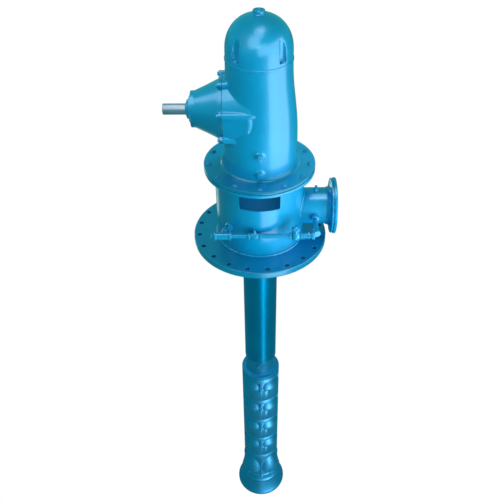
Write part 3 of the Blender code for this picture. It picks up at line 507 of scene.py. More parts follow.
class Nodes:
    """Adds and links the nodes of one material."""

    def __init__(self, name):
        self.material = bpy.data.materials.new(name)
        self.material.use_nodes = True
        self.tree = self.material.node_tree
        self.shader = self.tree.nodes["Principled BSDF"]
        self.place = self.add("ShaderNodeTexCoord").outputs["Object"]

    def add(self, kind, links=(), **values):
        """A node with values set on its sockets or itself, and its inputs linked."""
        node = self.tree.nodes.new(kind)
        for key, value in values.items():
            setattr(node, key, value)
        for socket, source in links:
            if isinstance(source, bpy.types.NodeSocket):
                self.tree.links.new(source, node.inputs[socket])
            else:
                node.inputs[socket].default_value = source
        return node

    def stretched(self, scale):
        """Object coordinates with a scale along each axis."""
        return self.add("ShaderNodeMapping", [("Vector", self.place), ("Scale", scale)]).outputs["Vector"]

    def noise(self, scale, detail=3.0, roughness=0.5, vector=None):
        """Noise between 0 and 1."""
        node = self.add("ShaderNodeTexNoise", [
            ("Vector", vector or self.place), ("Scale", scale), ("Detail", detail), ("Roughness", roughness)])
        return node.outputs["Fac"]

    def spread(self, value, low, high, to_low=0.0, to_high=1.0):
        """A value mapped from one range to another and held there."""
        node = self.add("ShaderNodeMapRange", [
            ("Value", value), ("From Min", low), ("From Max", high), ("To Min", to_low), ("To Max", to_high)],
            clamp=True)
        return node.outputs["Result"]

    def sum(self, operation, one, other):
        """Two values put together by a Math node."""
        return self.add("ShaderNodeMath", [(0, one), (1, other)], operation=operation).outputs["Value"]

    def mix(self, factor, one, other):
        """Two colours mixed by a factor."""
        node = self.add("ShaderNodeMix", data_type="RGBA")
        for socket, source in (("Factor_Float", factor), ("A_Color", one), ("B_Color", other)):
            target = next(s for s in node.inputs if s.identifier == socket)
            if isinstance(source, bpy.types.NodeSocket):
                self.tree.links.new(source, target)
            else:
                target.default_value = source
        return next(s for s in node.outputs if s.identifier == "Result_Color")

    def bump(self, height, strength, distance, normal=None):
        """A bump from a height."""
        links = [("Height", height), ("Strength", strength), ("Distance", distance)]
        if normal is not None:
            links.append(("Normal", normal))
        return self.add("ShaderNodeBump", links).outputs["Normal"]

    def edges(self, width):
        """1 along convex and concave edges and 0 on flats, from how far a rounded edge's normal would turn."""
        soft = self.add("ShaderNodeBevel", [("Radius", width)], samples=4).outputs["Normal"]
        true = self.add("ShaderNodeNewGeometry").outputs["Normal"]
        dot = self.add("ShaderNodeVectorMath", [(0, soft), (1, true)], operation="DOT_PRODUCT").outputs["Value"]
        return self.spread(dot, 0.995, 0.86)

    def finish(self, colour, roughness, normal, **values):
        """Links the shader and sets its even values."""
        self.tree.links.new(colour, self.shader.inputs["Base Color"])
        self.tree.links.new(roughness, self.shader.inputs["Roughness"])
        self.tree.links.new(normal, self.shader.inputs["Normal"])
        for key, value in values.items():
            self.shader.inputs[key].default_value = value
        return self.material


def enamel(name, lumps, lump_scale, streaks=EVEN, metal=0.3, clear=1.0, rough=1.0):
    """Glossy blue enamel over cast or rolled metal: clouded colour, orange peel, and a lighter colour along edges
    that is partly thin worn paint and partly a painted edge highlight.
    """
    colours, finish = bpy.context.scene.pump_colours, bpy.context.scene.pump_finish
    n = Nodes(name)
    cloud = n.spread(n.noise(4.0, 4.0, 0.6), 0.35, 0.65)
    mottle = n.spread(n.noise(70.0, 3.0, 0.6, n.stretched(streaks)), 0.3, 0.7, 0.0, 0.35)
    colour = n.mix(cloud, tuple(colours.enamel_light), tuple(colours.enamel_deep))
    colour = n.mix(mottle, colour, tuple(colours.enamel_deep))
    # Lighter colour along convex and concave edges, broken by noise: partly worn thin paint, partly a painted edge
    # highlight
    worn_and_painted_sheen = n.sum("MULTIPLY", n.edges(finish.edge_wear_and_sheen_width), n.spread(n.noise(26.0, 4.0, 0.7), 0.38, 0.62, 0.15, 0.75))
    colour = n.mix(worn_and_painted_sheen, colour, tuple(colours.enamel_edge_wear_and_sheen))
    gloss = finish.gloss * rough
    dull = n.spread(n.noise(11.0, 5.0, 0.65), 0.3, 0.75, gloss, gloss + 0.1)
    peel = n.bump(n.noise(420.0, 2.0, 0.5), 0.1, 0.0003)
    skin = n.bump(n.noise(lump_scale, 3.0, 0.55, n.stretched(streaks)), 0.25, finish.grain * lumps, peel)
    return n.finish(colour, dull, skin, **{
        "Metallic": metal, "Specular IOR Level": 0.5 * clear, "Coat Weight": clear, "Coat IOR": 1.65,
        "Coat Roughness": gloss * 0.6 * rough})


def steel(name, rings):
    """Ground shaft steel: fine turning rings and an oil stain."""
    colours = bpy.context.scene.pump_colours
    n = Nodes(name)
    lines = n.noise(900.0, 2.0, 0.6, n.stretched(rings))
    stain = n.spread(n.noise(9.0, 3.0, 0.5), 0.5, 0.9)
    colour = n.mix(stain, tuple(colours.steel), tuple(colours.steel_dull))
    rough = n.sum("ADD", n.spread(lines, 0.3, 0.7, 0.34, 0.42), n.sum("MULTIPLY", stain, 0.1))
    return n.finish(colour, rough, n.bump(lines, 0.08, 0.0001), Metallic=0.6)


def bronze(name):
    """Machined bronze with patches of tarnish."""
    colours = bpy.context.scene.pump_colours
    n = Nodes(name)
    tarnish = n.spread(n.noise(35.0, 5.0, 0.65), 0.4, 0.7)
    colour = n.mix(tarnish, tuple(colours.bronze), tuple(colours.bronze_dull))
    rough = n.spread(n.noise(60.0, 4.0, 0.6), 0.3, 0.7, 0.3, 0.52)
    return n.finish(colour, rough, n.bump(n.noise(240.0, 3.0, 0.6), 0.25, 0.0005), Metallic=1.0)


FINISHES = {}


def finish_named(name):
    """One of the pump's finishes, made when it is first wanted."""
    if name in FINISHES:
        return FINISHES[name]
    if name in ENAMELS:
        FINISHES[name] = enamel(name, *ENAMELS[name])
    elif name in STEELS:
        FINISHES[name] = steel(name, STEELS[name])
    else:
        FINISHES[name] = bronze(name)
    return FINISHES[name]


# Small hardware

def hex_bolt(name, corner, height, washer, shank=0.0):
    """A hex head on a washer, pointing up Z from Z = 0, with a short shank below."""
    head = turned("head", [
        (corner, washer * 0.2), (corner, height * 0.86), (corner * 0.9, height), (corner * 0.45, height * 1.04)], 6)
    eased(head, corner * 0.05, 2, 40.0)
    disc = turned("disc", [
        (corner * 1.16, -0.0005), (corner * 1.2, washer * 0.3), (corner * 1.2, washer * 0.7),
        (corner * 1.1, washer)], 24)
    parts = [head, disc]
    if shank > 0.0:
        parts.append(turned("shank", [(corner * 0.5, -shank), (corner * 0.5, 0.0)], 16))
    return united(name, parts)


def weld_bead(name, radius, thickness, ripples, height=0.0):
    """A ring of weld round Z, rippled along its length."""
    leave_all()
    bpy.ops.mesh.primitive_torus_add(
        major_radius=radius, minor_radius=thickness, major_segments=ripples * 4, minor_segments=8,
        location=(0.0, 0.0, 0.0))
    bead = named(name)
    for v in bead.data.vertices:
        a = math.atan2(v.co.y, v.co.x)
        around = Vector((math.cos(a), math.sin(a), 0.0)) * radius
        swell = 1.0 + 0.1 * math.sin(a * ripples) + 0.05 * math.sin(a * 7.0 + 1.0)
        v.co = around + (v.co - around) * swell
        v.co.z += height
    return bead


def case_body():
    """The cast gear case with its drum, bolt ribs and plug bosses, before it is cast as one."""
    rings = [(0.2105, DRIVE_FLANGE_TOP - 0.03)] + [(r, h) for h, r in CASE_PROFILE] + [(0.1728, CASE_TOP + 0.03)]
    body = turned("gear_case", rings, ROUND)
    drum = turned("drum", [
        (0.15, 0.012), (0.188, 0.028), (0.1965, 0.042), (0.2, 0.058), (0.168, DRUM_FACE),
        (0.167, DRUM_FACE + 0.03)], ROUND)
    place(drum, (0.0, 0.0, INPUT_HEIGHT), (0.0, -90.0, 0.0))
    parts = [body, drum]
    for k in range(EARS):
        parts.append(bolt_rib(EAR_PHASE + 360.0 * k / EARS))
    for height in PLUG_HEIGHTS:
        boss = turned("boss", [(0.026, 0.15), (0.026, 0.212), (0.0235, 0.2155)], NEAR_ROUND)
        parts.append(place(boss, (0.0, 0.0, height), (90.0, 0.0, 0.0)))
    return united("gear_case", parts)


def bolt_rib(angle):
    """One bolt rib along the drum: a bullet that points at the pump's axis."""
    rings = [
        (0.002, 0.016), (0.008, 0.026), (0.013, 0.04), (0.016, 0.058), (EAR_RADIUS, 0.08),
        (EAR_RADIUS, DRUM_FACE + 0.03)]
    rib = turned("rib", [(radius, height - DRUM_FACE) for radius, height in rings], SMALL_ROUND)
    place(rib, tilt=(0.0, RIB_LEAN, 0.0))
    place(rib, (EAR_CIRCLE, 0.0, DRUM_FACE))
    pick(rib)
    rib.matrix_world = input_frame(angle, (0.0, 0.0, INPUT_HEIGHT))
    apply_place()
    return rib


def input_frame(angle, origin):
    """Carries local X to an ear's direction round the input axis, and local Z to -X."""
    a = math.radians(angle)
    along = Vector((-1.0, 0.0, 0.0))
    out = Vector((0.0, -math.cos(a), math.sin(a)))
    return Matrix.Translation(origin) @ Matrix((out, along.cross(out), along)).transposed().to_4x4()


def ear_outline(angle):
    """The cartridge flange's radius at an angle from an ear's centre."""
    across = abs(math.sin(angle)) * EAR_CIRCLE
    if across >= EAR_RADIUS or math.cos(angle) < 0.0:
        return CARTRIDGE_RADIUS
    reach = EAR_CIRCLE * math.cos(angle) + math.sqrt(EAR_RADIUS ** 2 - across ** 2)
    return max(CARTRIDGE_RADIUS, reach)


class PUMP_OT_gear_case(bpy.types.Operator):
    """Models the gear case, its flange and its two plugs"""
    bl_idname = "pump.gear_case"
    bl_label = "Gear case"

    def execute(self, context):
        cell = context.scene.pump_finish.casting_cell
        case = cast(case_body(), cell)
        sawn(case, (0.0, 0.0, CASE_TOP), (0.0, 0.0, 1.0))
        sawn(case, (0.0, 0.0, DRIVE_FLANGE_TOP - 0.002), (0.0, 0.0, -1.0))
        sawn(case, (-DRUM_FACE, 0.0, 0.0), (-1.0, 0.0, 0.0))
        settle(case, "cast_enamel", "gear_housing", uneven=CAST_ANGLE)

        radius = DRIVE_FLANGE_RADIUS
        low, high = DRIVE_FLANGE_HIGH.z + 0.0008, DRIVE_FLANGE_TOP
        flange = turned("gear_case_flange", [
            (0.08, low), (radius - 0.0035, low), (radius - 0.001, low + 0.0015), (radius, low + 0.0045),
            (radius, high - 0.005), (radius - 0.0015, high - 0.0016), (radius - 0.005, high), (0.229, high),
            (0.22, high + 0.0012), (0.2135, high + 0.005), (0.2095, high + 0.012), (0.205, high + 0.012),
            (0.08, high + 0.006)], ROUND, hollow=True)
        settle(flange, "plate_enamel")

        for name, height in zip(("oil_drain_plug", "oil_level_plug"), PLUG_HEIGHTS):
            plug = turned(name + "_head", [
                (0.019, 0.215), (0.019, 0.2215), (0.0178, 0.2238), (0.013, 0.2245), (0.0118, 0.2262),
                (0.0112, 0.2285), (0.008, 0.2292)], SMALL_ROUND)
            settle(plug, "bolt_enamel", name, at=on_axis(height), tilt=(90.0, 0.0, 0.0))
        return {"FINISHED"}


class PUMP_OT_gear_cover(bpy.types.Operator):
    """Models the domed cover, its seam and its vent plug"""
    bl_idname = "pump.gear_cover"
    bl_label = "Gear cover"

    def execute(self, context):
        cell = context.scene.pump_finish.casting_cell
        rise = COVER_TOP - COVER_SKIRT_TOP
        rings = [(COVER_RADIUS, CASE_TOP - 0.02), (COVER_RADIUS, SEAM_TOP), (COVER_RADIUS, COVER_SKIRT_TOP)]
        steps = 22
        for k in range(1, steps):
            a = math.radians(90.0 * k / steps)
            rings.append((COVER_RADIUS * math.cos(a) ** COVER_FULLNESS,
                          COVER_SKIRT_TOP + rise * math.sin(a) ** COVER_FULLNESS))
        dome = turned("cover_dome", rings, ROUND)
        for angle in POCKET_ANGLES:
            a = math.radians(angle)
            drill = turned("drill", [(POCKET_RADIUS, POCKET_FLOOR), (POCKET_RADIUS, COVER_TOP + 0.05)], NEAR_ROUND)
            place(drill, (POCKET_CIRCLE * math.cos(a), POCKET_CIRCLE * math.sin(a), 0.0))
            cut(dome, drill)
        cast(dome, cell * 0.62, 3)
        sawn(dome, (0.0, 0.0, CASE_TOP + 0.004), (0.0, 0.0, -1.0))
        settle(dome, "cast_enamel", "gear_cover", uneven=CAST_ANGLE)

        low = CASE_TOP + 0.0008
        seam = turned("cover_seam", [
            (0.15, low), (COVER_RADIUS + 0.0012, low), (COVER_RADIUS + 0.003, low + 0.0018),
            (COVER_RADIUS + 0.0032, low + 0.006), (COVER_RADIUS + 0.0032, SEAM_TOP - 0.003),
            (COVER_RADIUS + 0.0024, SEAM_TOP - 0.0008), (COVER_RADIUS + 0.0006, SEAM_TOP + 0.0006),
            (COVER_RADIUS - 0.002, SEAM_TOP + 0.001), (0.15, SEAM_TOP)], ROUND, hollow=True)
        settle(seam, "cast_enamel")

        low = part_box("cover_vent_plug")[0].z
        knob = turned("cover_vent", [
            (0.025, low - 0.004), (0.032, low), (0.0305, low + 0.004), (0.029, low + 0.006), (0.029, low + 0.012),
            (0.0305, low + 0.014), (0.0305, low + 0.019), (0.0285, low + 0.0212), (0.0245, low + 0.0212),
            (0.0225, low + 0.018), (0.015, low + 0.0175), (0.012, low + 0.02), (0.006, low + 0.0205)], NEAR_ROUND)
        settle(knob, "bolt_enamel", "cover_vent_plug")
        bolt = hex_bolt("cover_bolts", 0.0075, 0.0055, 0.0015)
        circle = POCKET_CIRCLE - 0.002
        spots = []
        for angle in POCKET_ANGLES:
            a = math.radians(angle)
            spot = (AXIS_X + circle * math.cos(a), AXIS_Y + circle * math.sin(a), POCKET_FLOOR)
            spots.append(copy_to(bolt, Matrix.Translation(spot)))
        bpy.data.objects.remove(bolt, do_unlink=True)
        done(united("cover_bolts", spots), "bolt_enamel")
        return {"FINISHED"}


class PUMP_OT_pinion_cartridge(bpy.types.Operator):
    """Models the pinion cartridge, its bolts, the seal cap and the input shaft"""
    bl_idname = "pump.pinion_cartridge"
    bl_label = "Pinion cartridge"

    def execute(self, context):
        face = DRUM_FACE + 0.0009
        rim = CARTRIDGE_FLANGE
        leave_all()
        bpy.ops.mesh.primitive_circle_add(
            vertices=504, radius=CARTRIDGE_RADIUS, location=(0.0, 0.0, face), fill_type="NGON")
        flange = named("cartridge_flange")
        apply_place()
        for v in flange.data.vertices:
            a = math.atan2(v.co.y, v.co.x)
            pitch = 2 * math.pi / EARS
            reach = ear_outline((a + pitch / 2) % pitch - pitch / 2)
            v.co.x, v.co.y = reach * math.cos(a), reach * math.sin(a)
        pick(flange)
        bpy.ops.object.mode_set(mode="EDIT")
        bpy.ops.mesh.select_all(action="SELECT")
        bpy.ops.mesh.extrude_region_move(TRANSFORM_OT_translate={"value": (0.0, 0.0, rim - face)})
        face_outward()
        eased(flange, 0.0022, 3, 60.0)
        cone = turned("cartridge_cone", [
            (0.12, rim - 0.004), (0.157, rim - 0.002), (0.1552, rim + 0.003), (0.153, rim + 0.008),
            (0.15, rim + 0.014), (0.125, 0.275), (0.0975, 0.336), (0.0962, 0.3395), (0.096, 0.343),
            (0.096, NOSE_FACE - 0.0045), (0.0948, NOSE_FACE - 0.0014), (0.092, NOSE_FACE), (0.076, NOSE_FACE),
            (0.072, NOSE_FACE - 0.0012)], ROUND)
        axle, turn = on_axis(INPUT_HEIGHT), (0.0, -90.0, 0.0)
        cartridge = united("cartridge", [turned_about_input(flange, EAR_PHASE), place(cone, axle, turn)])
        done(cartridge, "cast_enamel", "pinion_cartridge")

        bolt = hex_bolt("cartridge_bolts", 0.0108, 0.0085, 0.0022)
        spots = []
        for k in range(EARS):
            a = math.radians(EAR_PHASE + 360.0 * k / EARS)
            head = copy_to(bolt, Matrix.Rotation(a, 4, "Z"))
            spots.append(place(
                head, (AXIS_X - rim, AXIS_Y - EAR_CIRCLE * math.cos(a), INPUT_HEIGHT + EAR_CIRCLE * math.sin(a)),
                turn))
        bpy.data.objects.remove(bolt, do_unlink=True)
        done(united("cartridge_bolts", spots), "bolt_enamel")

        low = NOSE_FACE + GAP
        cap = turned("seal_cap", [
            (SHAFT_RADIUS + 0.0008, low), (0.066, low), (0.0695, low + 0.0015), (0.07, low + 0.004),
            (0.069, low + 0.0072), (0.058, low + 0.0092), (0.0545, low + 0.011), (0.052, low + 0.015),
            (0.05, low + 0.02), (0.041, low + 0.0215), (0.0375, low + 0.0235), (0.0355, low + 0.026),
            (0.0345, 0.3885), (SHAFT_RADIUS + 0.0008, 0.3888)], NEAR_ROUND, hollow=True)
        settle(cap, "cast_enamel", "input_seal_cap", at=axle, tilt=turn)

        shaft = turned("drive_shaft", [
            (SHAFT_RADIUS - 0.001, 0.2705), (SHAFT_RADIUS, 0.272), (SHAFT_RADIUS, SHAFT_END - 0.004),
            (SHAFT_RADIUS - 0.0012, SHAFT_END - 0.0012), (SHAFT_RADIUS - 0.004, SHAFT_END), (0.008, SHAFT_END),
            (0.002, SHAFT_END - 0.008)], NEAR_ROUND)
        settle(shaft, "shaft_steel", "input_shaft", at=axle, tilt=turn, body="input", slot="shaft_steel")
        return {"FINISHED"}


def turned_about_input(piece, angle):
    """Puts a piece whose first ear lies on +X on the input axis, with that ear at an angle."""
    pick(piece)
    piece.matrix_world = input_frame(angle, on_axis(INPUT_HEIGHT))
    apply_place()
    return piece


class PUMP_OT_discharge_head(bpy.types.Operator):
    """Models the barrel, its windows, its welds and the flange on top"""
    bl_idname = "pump.discharge_head"
    bl_label = "Discharge head"

    def execute(self, context):
        ripples = context.scene.pump_finish.weld_ripples
        inner = BARREL_RADIUS - BARREL_WALL
        low = BASE_TOP + GAP
        barrel = turned("barrel", [
            (inner, low), (BARREL_RADIUS, low), (BARREL_RADIUS, 0.2), (BARREL_RADIUS, BARREL_TOP),
            (inner, BARREL_TOP), (inner, 0.2)], ROUND * 2, hollow=True)
        window = block(
            "window", (WINDOW_WIDTH, 3 * BARREL_RADIUS, WINDOW_TOP - WINDOW_BOTTOM),
            (0.0, 0.0, (WINDOW_BOTTOM + WINDOW_TOP) / 2))
        applied(window, "BEVEL", width=0.006, segments=4)
        cut(barrel, window)
        outlet = turned("outlet", [(PIPE_RADIUS + 0.0003, 0.1), (PIPE_RADIUS + 0.0003, 0.4)], ROUND)
        cut(barrel, place(outlet, (0.0, 0.0, DISCHARGE_HEIGHT), (0.0, 90.0, 0.0)))
        settle(barrel, "plate_enamel", "head_barrel")

        foot = weld_bead("barrel_foot_weld", BARREL_RADIUS + 0.003, 0.0072, ripples, low + 0.003)
        settle(foot, "weld_enamel", uneven=BEAD_ANGLE)
        top = weld_bead("barrel_top_weld", BARREL_RADIUS + 0.002, 0.005, ripples, BARREL_TOP - 0.003)
        settle(top, "weld_enamel", uneven=BEAD_ANGLE)

        saddle = weld_bead("discharge_weld", PIPE_RADIUS + 0.003, 0.0065, ripples // 2)
        place(saddle, (0.0, 0.0, DISCHARGE_HEIGHT), (0.0, 90.0, 0.0))
        for v in saddle.data.vertices:
            v.co.x += math.sqrt(BARREL_RADIUS ** 2 - v.co.y ** 2) + 0.002
        settle(saddle, "weld_enamel", uneven=BEAD_ANGLE)

        low, high, radius = DRIVE_FLANGE_LOW.z, DRIVE_FLANGE_HIGH.z - 0.0008, DRIVE_FLANGE_RADIUS
        flange = turned("drive_flange", [
            (0.19, low), (radius - 0.004, low), (radius - 0.0012, low + 0.0014), (radius, low + 0.0045),
            (radius, high - 0.0045), (radius - 0.0012, high - 0.0014), (radius - 0.004, high), (0.19, high)], ROUND,
            hollow=True)
        settle(flange, "plate_enamel", "head_top_flange")
        return {"FINISHED"}


class PUMP_OT_base_flange(bpy.types.Operator):
    """Models the base flange with its ring of holes"""
    bl_idname = "pump.base_flange"
    bl_label = "Base flange"

    def execute(self, context):
        radius, top = BASE_RADIUS, BASE_TOP
        base = turned("base_plate", [
            (0.112, top), (0.112, 0.004), (0.2, 0.004), (0.2, 0.0), (radius - 0.005, 0.0),
            (radius - 0.0015, 0.0015), (radius, 0.005), (radius, top - 0.008), (radius - 0.0024, top - 0.0024),
            (radius - 0.008, top)], ROUND * 2, hollow=True)
        drill = turned("drill", [
            (BASE_HOLE_RADIUS, -0.02), (BASE_HOLE_RADIUS, top - 0.0014), (BASE_HOLE_RADIUS + 0.003, top + 0.0016),
            (BASE_HOLE_RADIUS + 0.003, top + 0.01)], SMALL_ROUND)
        cut(base, ring_of(drill, BASE_HOLES, BOLT_CIRCLE, BASE_HOLE_PHASE))
        settle(base, "plate_enamel", "base_flange")
        return {"FINISHED"}


class PUMP_OT_discharge(bpy.types.Operator):
    """Models the discharge pipe, its flange and the tap plug"""
    bl_idname = "pump.discharge"
    bl_label = "Discharge branch"

    def execute(self, context):
        spot = on_axis(DISCHARGE_HEIGHT)
        along = (0.0, 90.0, 0.0)
        pipe = turned("discharge_spool", [
            (PIPE_BORE, PIPE_START), (PIPE_RADIUS, PIPE_START), (PIPE_RADIUS, PIPE_MIDDLE),
            (PIPE_RADIUS, HUB_START - 0.0006), (PIPE_BORE, HUB_START - 0.0006), (PIPE_BORE, PIPE_MIDDLE)], ROUND,
            hollow=True)
        settle(pipe, "pipe_enamel", "discharge_pipe", at=spot, tilt=along)
        start, face = HUB_START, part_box("discharge_flange")[1].x - AXIS_X
        flange = turned("outlet_flange", [
            (PIPE_BORE, start), (0.1085, start), (0.111, start + 0.003), (0.115, start + 0.012),
            (0.12, start + 0.018), (0.128, start + 0.021), (0.155, start + 0.0213), (0.16, start + 0.0225),
            (0.1618, start + 0.025), (0.1618, start + 0.03), (0.16, start + 0.0325), (0.157, start + 0.0332),
            (0.157, start + 0.0362), (0.1605, start + 0.0365), (0.164, start + 0.0378), (0.165, start + 0.0405),
            (0.165, face - 0.004), (0.1638, face - 0.0012), (0.161, face), (0.12, face), (0.1195, face - 0.0015),
            (0.11, face - 0.0015), (PIPE_BORE + 0.001, face - 0.0015), (PIPE_BORE, face - 0.0025)], ROUND,
            hollow=True)
        drill = turned(
            "drill", [(OUTLET_HOLE_RADIUS, start - 0.02), (OUTLET_HOLE_RADIUS, face + 0.02)], SMALL_ROUND)
        cut(flange, ring_of(drill, OUTLET_HOLES, OUTLET_HOLE_CIRCLE, 180.0 / OUTLET_HOLES))
        settle(flange, "cast_enamel", "discharge_flange", at=spot, tilt=along)
        seam = weld_bead("hub_weld", PIPE_RADIUS + 0.001, 0.0034, 110, HUB_START - 0.0006)
        settle(seam, "weld_enamel", at=spot, tilt=along, uneven=BEAD_ANGLE)

        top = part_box("pressure_tap_plug")[1].z
        seat = DISCHARGE_HEIGHT + PIPE_RADIUS
        coupling = turned("tap_coupling", [
            (0.0145, seat - 0.004), (0.0138, seat + 0.004), (0.012, seat + 0.006), (0.012, seat + 0.016),
            (0.0108, seat + 0.018), (0.006, seat + 0.018)], SMALL_ROUND)
        plug = turned("plug", [
            (0.0082, seat + 0.017), (0.0082, top - 0.002), (0.007, top - 0.0004), (0.003, top)], 4)
        eased(plug, 0.0006, 2, 30.0)
        tap = united("tap_plug", [coupling, plug])
        settle(tap, "bolt_enamel", "pressure_tap_plug", at=(AXIS_X + TAP_POSITION, AXIS_Y, 0.0))
        return {"FINISHED"}


def bellied(name, half, belly):
    """A round-bellied fitting body about Z = 0, with a beaded collar at each end."""
    collar = 0.0215
    rings = [
        (TUBE_RADIUS + GAP, -half), (collar - 0.001, -half), (collar, -half + 0.0012), (collar, -half + 0.0078),
        (collar - 0.0012, -half + 0.0092), (TUBE_RADIUS + 0.0036, -half + 0.0102)]
    steps = 9
    reach = half - 0.0145
    for k in range(steps + 1):
        a = math.pi * (k / steps - 0.5)
        rings.append((TUBE_RADIUS + 0.0034 + (belly - TUBE_RADIUS - 0.0034) * math.cos(a), reach * math.sin(a)))
    rings += [(r, -h) for r, h in reversed(rings[:6])]
    return turned(name, rings, SMALL_ROUND)


class PUMP_OT_bypass(bpy.types.Operator):
    """Models the bypass piping with its valve, cock, elbow and tee"""
    bl_idname = "pump.bypass"
    bl_label = "Bypass piping"

    def execute(self, context):
        tube = TUBE_RADIUS
        branch, forward = (AXIS_X + BRANCH_X, AXIS_Y, RUN_HEIGHT), (90.0, 0.0, 0.0)

        def at_run(x):
            """A point on the run's centre line."""
            return (AXIS_X + x, AXIS_Y + RUN_FRONT, RUN_HEIGHT)

        def in_run(piece, x=0.0):
            """Lays a piece modelled along Z into the run."""
            return place(piece, at_run(x), (0.0, 90.0, 0.0))

        boss = turned("branch_weldolet", [
            (0.0262, 0.086), (0.0258, 0.109), (0.024, 0.115), (0.0232, 0.128), (0.0215, 0.1325),
            (0.019, 0.134), (tube + GAP, 0.134)], SMALL_ROUND)
        settle(boss, "cast_enamel", "branch_boss", at=branch, tilt=forward)
        pipe = turned("branch_tube", [(tube, 0.131), (tube, 0.2), (tube, 0.261)], SMALL_ROUND)
        settle(pipe, "pipe_enamel", "branch_nipple", at=branch, tilt=forward)
        settle(elbow("elbow"), "cast_enamel", "bypass_elbow", at=at_run(BRANCH_X))

        nut = turned("nut", [(0.02, -0.005), (0.0215, -0.0042), (0.0215, 0.0042), (0.02, 0.005)], 6)
        eased(nut, 0.0006, 2, 40.0)
        left_nut = copy_to(nut, Matrix.Translation((0.0, 0.0, 0.244)))
        right_nut = copy_to(nut, Matrix.Translation((0.0, 0.0, 0.273)) @ Matrix.Rotation(math.radians(20), 4, "Z"))
        bpy.data.objects.remove(nut, do_unlink=True)
        core = turned("core", [
            (tube, 0.224), (tube, 0.2492), (0.016, 0.25), (0.0165, 0.254), (0.0165, 0.262), (0.016, 0.2665),
            (tube, 0.2675), (tube, 0.301)], SMALL_ROUND)
        union = united("union_joint", [core, left_nut, right_nut])
        done(in_run(union), "cast_enamel", "bypass_union")

        body = bellied("valve", 0.036, 0.03)
        bonnet = turned("bonnet", [
            (0.019, 0.0), (0.019, 0.033), (0.0205, 0.036), (0.0245, 0.0385), (0.025, 0.041), (0.025, 0.049),
            (0.024, 0.0525), (0.02, 0.056), (0.015, 0.06), (0.012, 0.0615), (0.01, 0.0625), (0.01, 0.067),
            (0.006, 0.068)], SMALL_ROUND)
        valve = in_run(body, VALVE_X)
        place(bonnet, at_run(VALVE_X))
        done(united("stop_valve", [valve, bonnet]), "cast_enamel", "bypass_valve")

        right = turned("run_tube_right", [(tube, -0.005), (tube, 0.08), (tube, 0.175)], SMALL_ROUND)
        done(in_run(right), "pipe_enamel", "bypass_pipe_right")
        body = bellied("cock", 0.036, 0.0215)
        stem = turned("stem", [
            (0.0115, 0.0), (0.011, 0.0215), (0.0095, 0.024), (0.0095, 0.029), (0.0085, 0.0305), (0.0058, 0.031),
            (0.0055, 0.0385), (0.004, 0.04)], SMALL_ROUND)
        cock = in_run(body, COCK_X)
        place(stem, at_run(COCK_X))
        done(united("plug_cock", [cock, stem]), "cast_enamel", "bypass_cock")
        left = turned("run_tube_left", [(tube, -0.17), (tube, -0.12), (tube, -0.056)], SMALL_ROUND)
        done(in_run(left), "pipe_enamel", "bypass_pipe_left")

        tee = turned("tee", [
            (tube + GAP, -0.047), (0.0248, -0.047), (0.026, -0.0456), (0.026, -0.0375), (0.0248, -0.0358),
            (0.0218, -0.0345), (0.0215, -0.02), (0.0215, 0.02), (0.0218, 0.0345), (0.0248, 0.0358), (0.026, 0.0375),
            (0.026, 0.0456), (0.0248, 0.047), (tube + GAP, 0.047)], SMALL_ROUND)
        in_run(tee, TEE_X)
        corner, outward = at_run(TEE_X), (-90.0, 0.0, -TEE_ANGLE)
        arm = turned("arm", [
            (0.0205, 0.0), (0.0205, 0.024), (0.0235, 0.0255), (0.025, 0.0275), (0.025, 0.0385), (0.0238, 0.04),
            (tube + GAP, 0.04)], SMALL_ROUND)
        place(arm, corner, outward)
        done(united("run_tee", [tee, arm]), "cast_enamel", "bypass_tee")
        plug = turned("plug", [(tube, -0.036), (tube, -0.0475)], SMALL_ROUND)
        head = turned("head", [(0.014, -0.069), (0.016, -0.0675), (0.016, -0.049), (0.015, -0.0473)], 4)
        eased(head, 0.0008, 2, 30.0)
        done(in_run(united("end_plug", [plug, head]), TEE_X), "bolt_enamel", "tee_plug")
        start, tap = 0.04, 0.082
        rings = [(tube, start - 0.01), (tube, start + 0.003)]
        pitch = (tap - start - 0.012) / 4
        for k in range(4):
            at = start + 0.004 + pitch * k
            rings += [
                (0.0178, at), (0.019, at + 0.0008), (0.019, at + pitch * 0.5 - 0.0008), (0.0178, at + pitch * 0.5),
                (tube, at + pitch * 0.55), (tube, at + pitch * 0.9)]
        rings += [(tube, tap), (tube, tap + 0.011)]
        settle(turned("ribbed_nipple", rings, SMALL_ROUND), "cast_enamel", "tee_nipple", at=corner, tilt=outward)
        boss = turned("barrel_weldolet", [
            (tube + GAP, tap), (0.02, tap), (0.0222, tap + 0.0015), (0.0236, tap + 0.006), (0.024, tap + 0.018),
            (0.0262, 0.125), (0.0262, 0.14)], SMALL_ROUND)
        settle(boss, "cast_enamel", "barrel_boss", at=corner, tilt=outward)
        return {"FINISHED"}


def elbow(name):
    """A quarter bend from +Y round to -X with a collar at each end, about its corner."""
    leave_all()
    bend, radius = 0.02, 0.0185
    bpy.ops.mesh.primitive_circle_add(
        vertices=SMALL_ROUND, radius=radius, location=(0.0, bend, 0.0), rotation=(math.radians(90), 0.0, 0.0),
        fill_type="NOTHING")
    body = named(name)
    apply_place()
    bpy.ops.object.mode_set(mode="EDIT")
    bpy.ops.mesh.select_all(action="SELECT")
    bpy.ops.mesh.spin(steps=12, angle=math.radians(-90), center=(-bend, bend, 0.0), axis=(0.0, 0.0, 1.0))
    bpy.ops.mesh.select_all(action="SELECT")
    bpy.ops.mesh.fill_holes(sides=0)
    face_outward()
    parts = [body]
    for tilt in ((-90.0, 0.0, 0.0), (0.0, -90.0, 0.0)):
        collar = turned("collar", [
            (0.018, 0.012), (0.0203, 0.0135), (0.0215, 0.0155), (0.0215, 0.0285), (0.0203, 0.03),
            (TUBE_RADIUS + GAP, 0.03)], SMALL_ROUND)
        parts.append(place(collar, tilt=tilt))
    return united(name, parts)


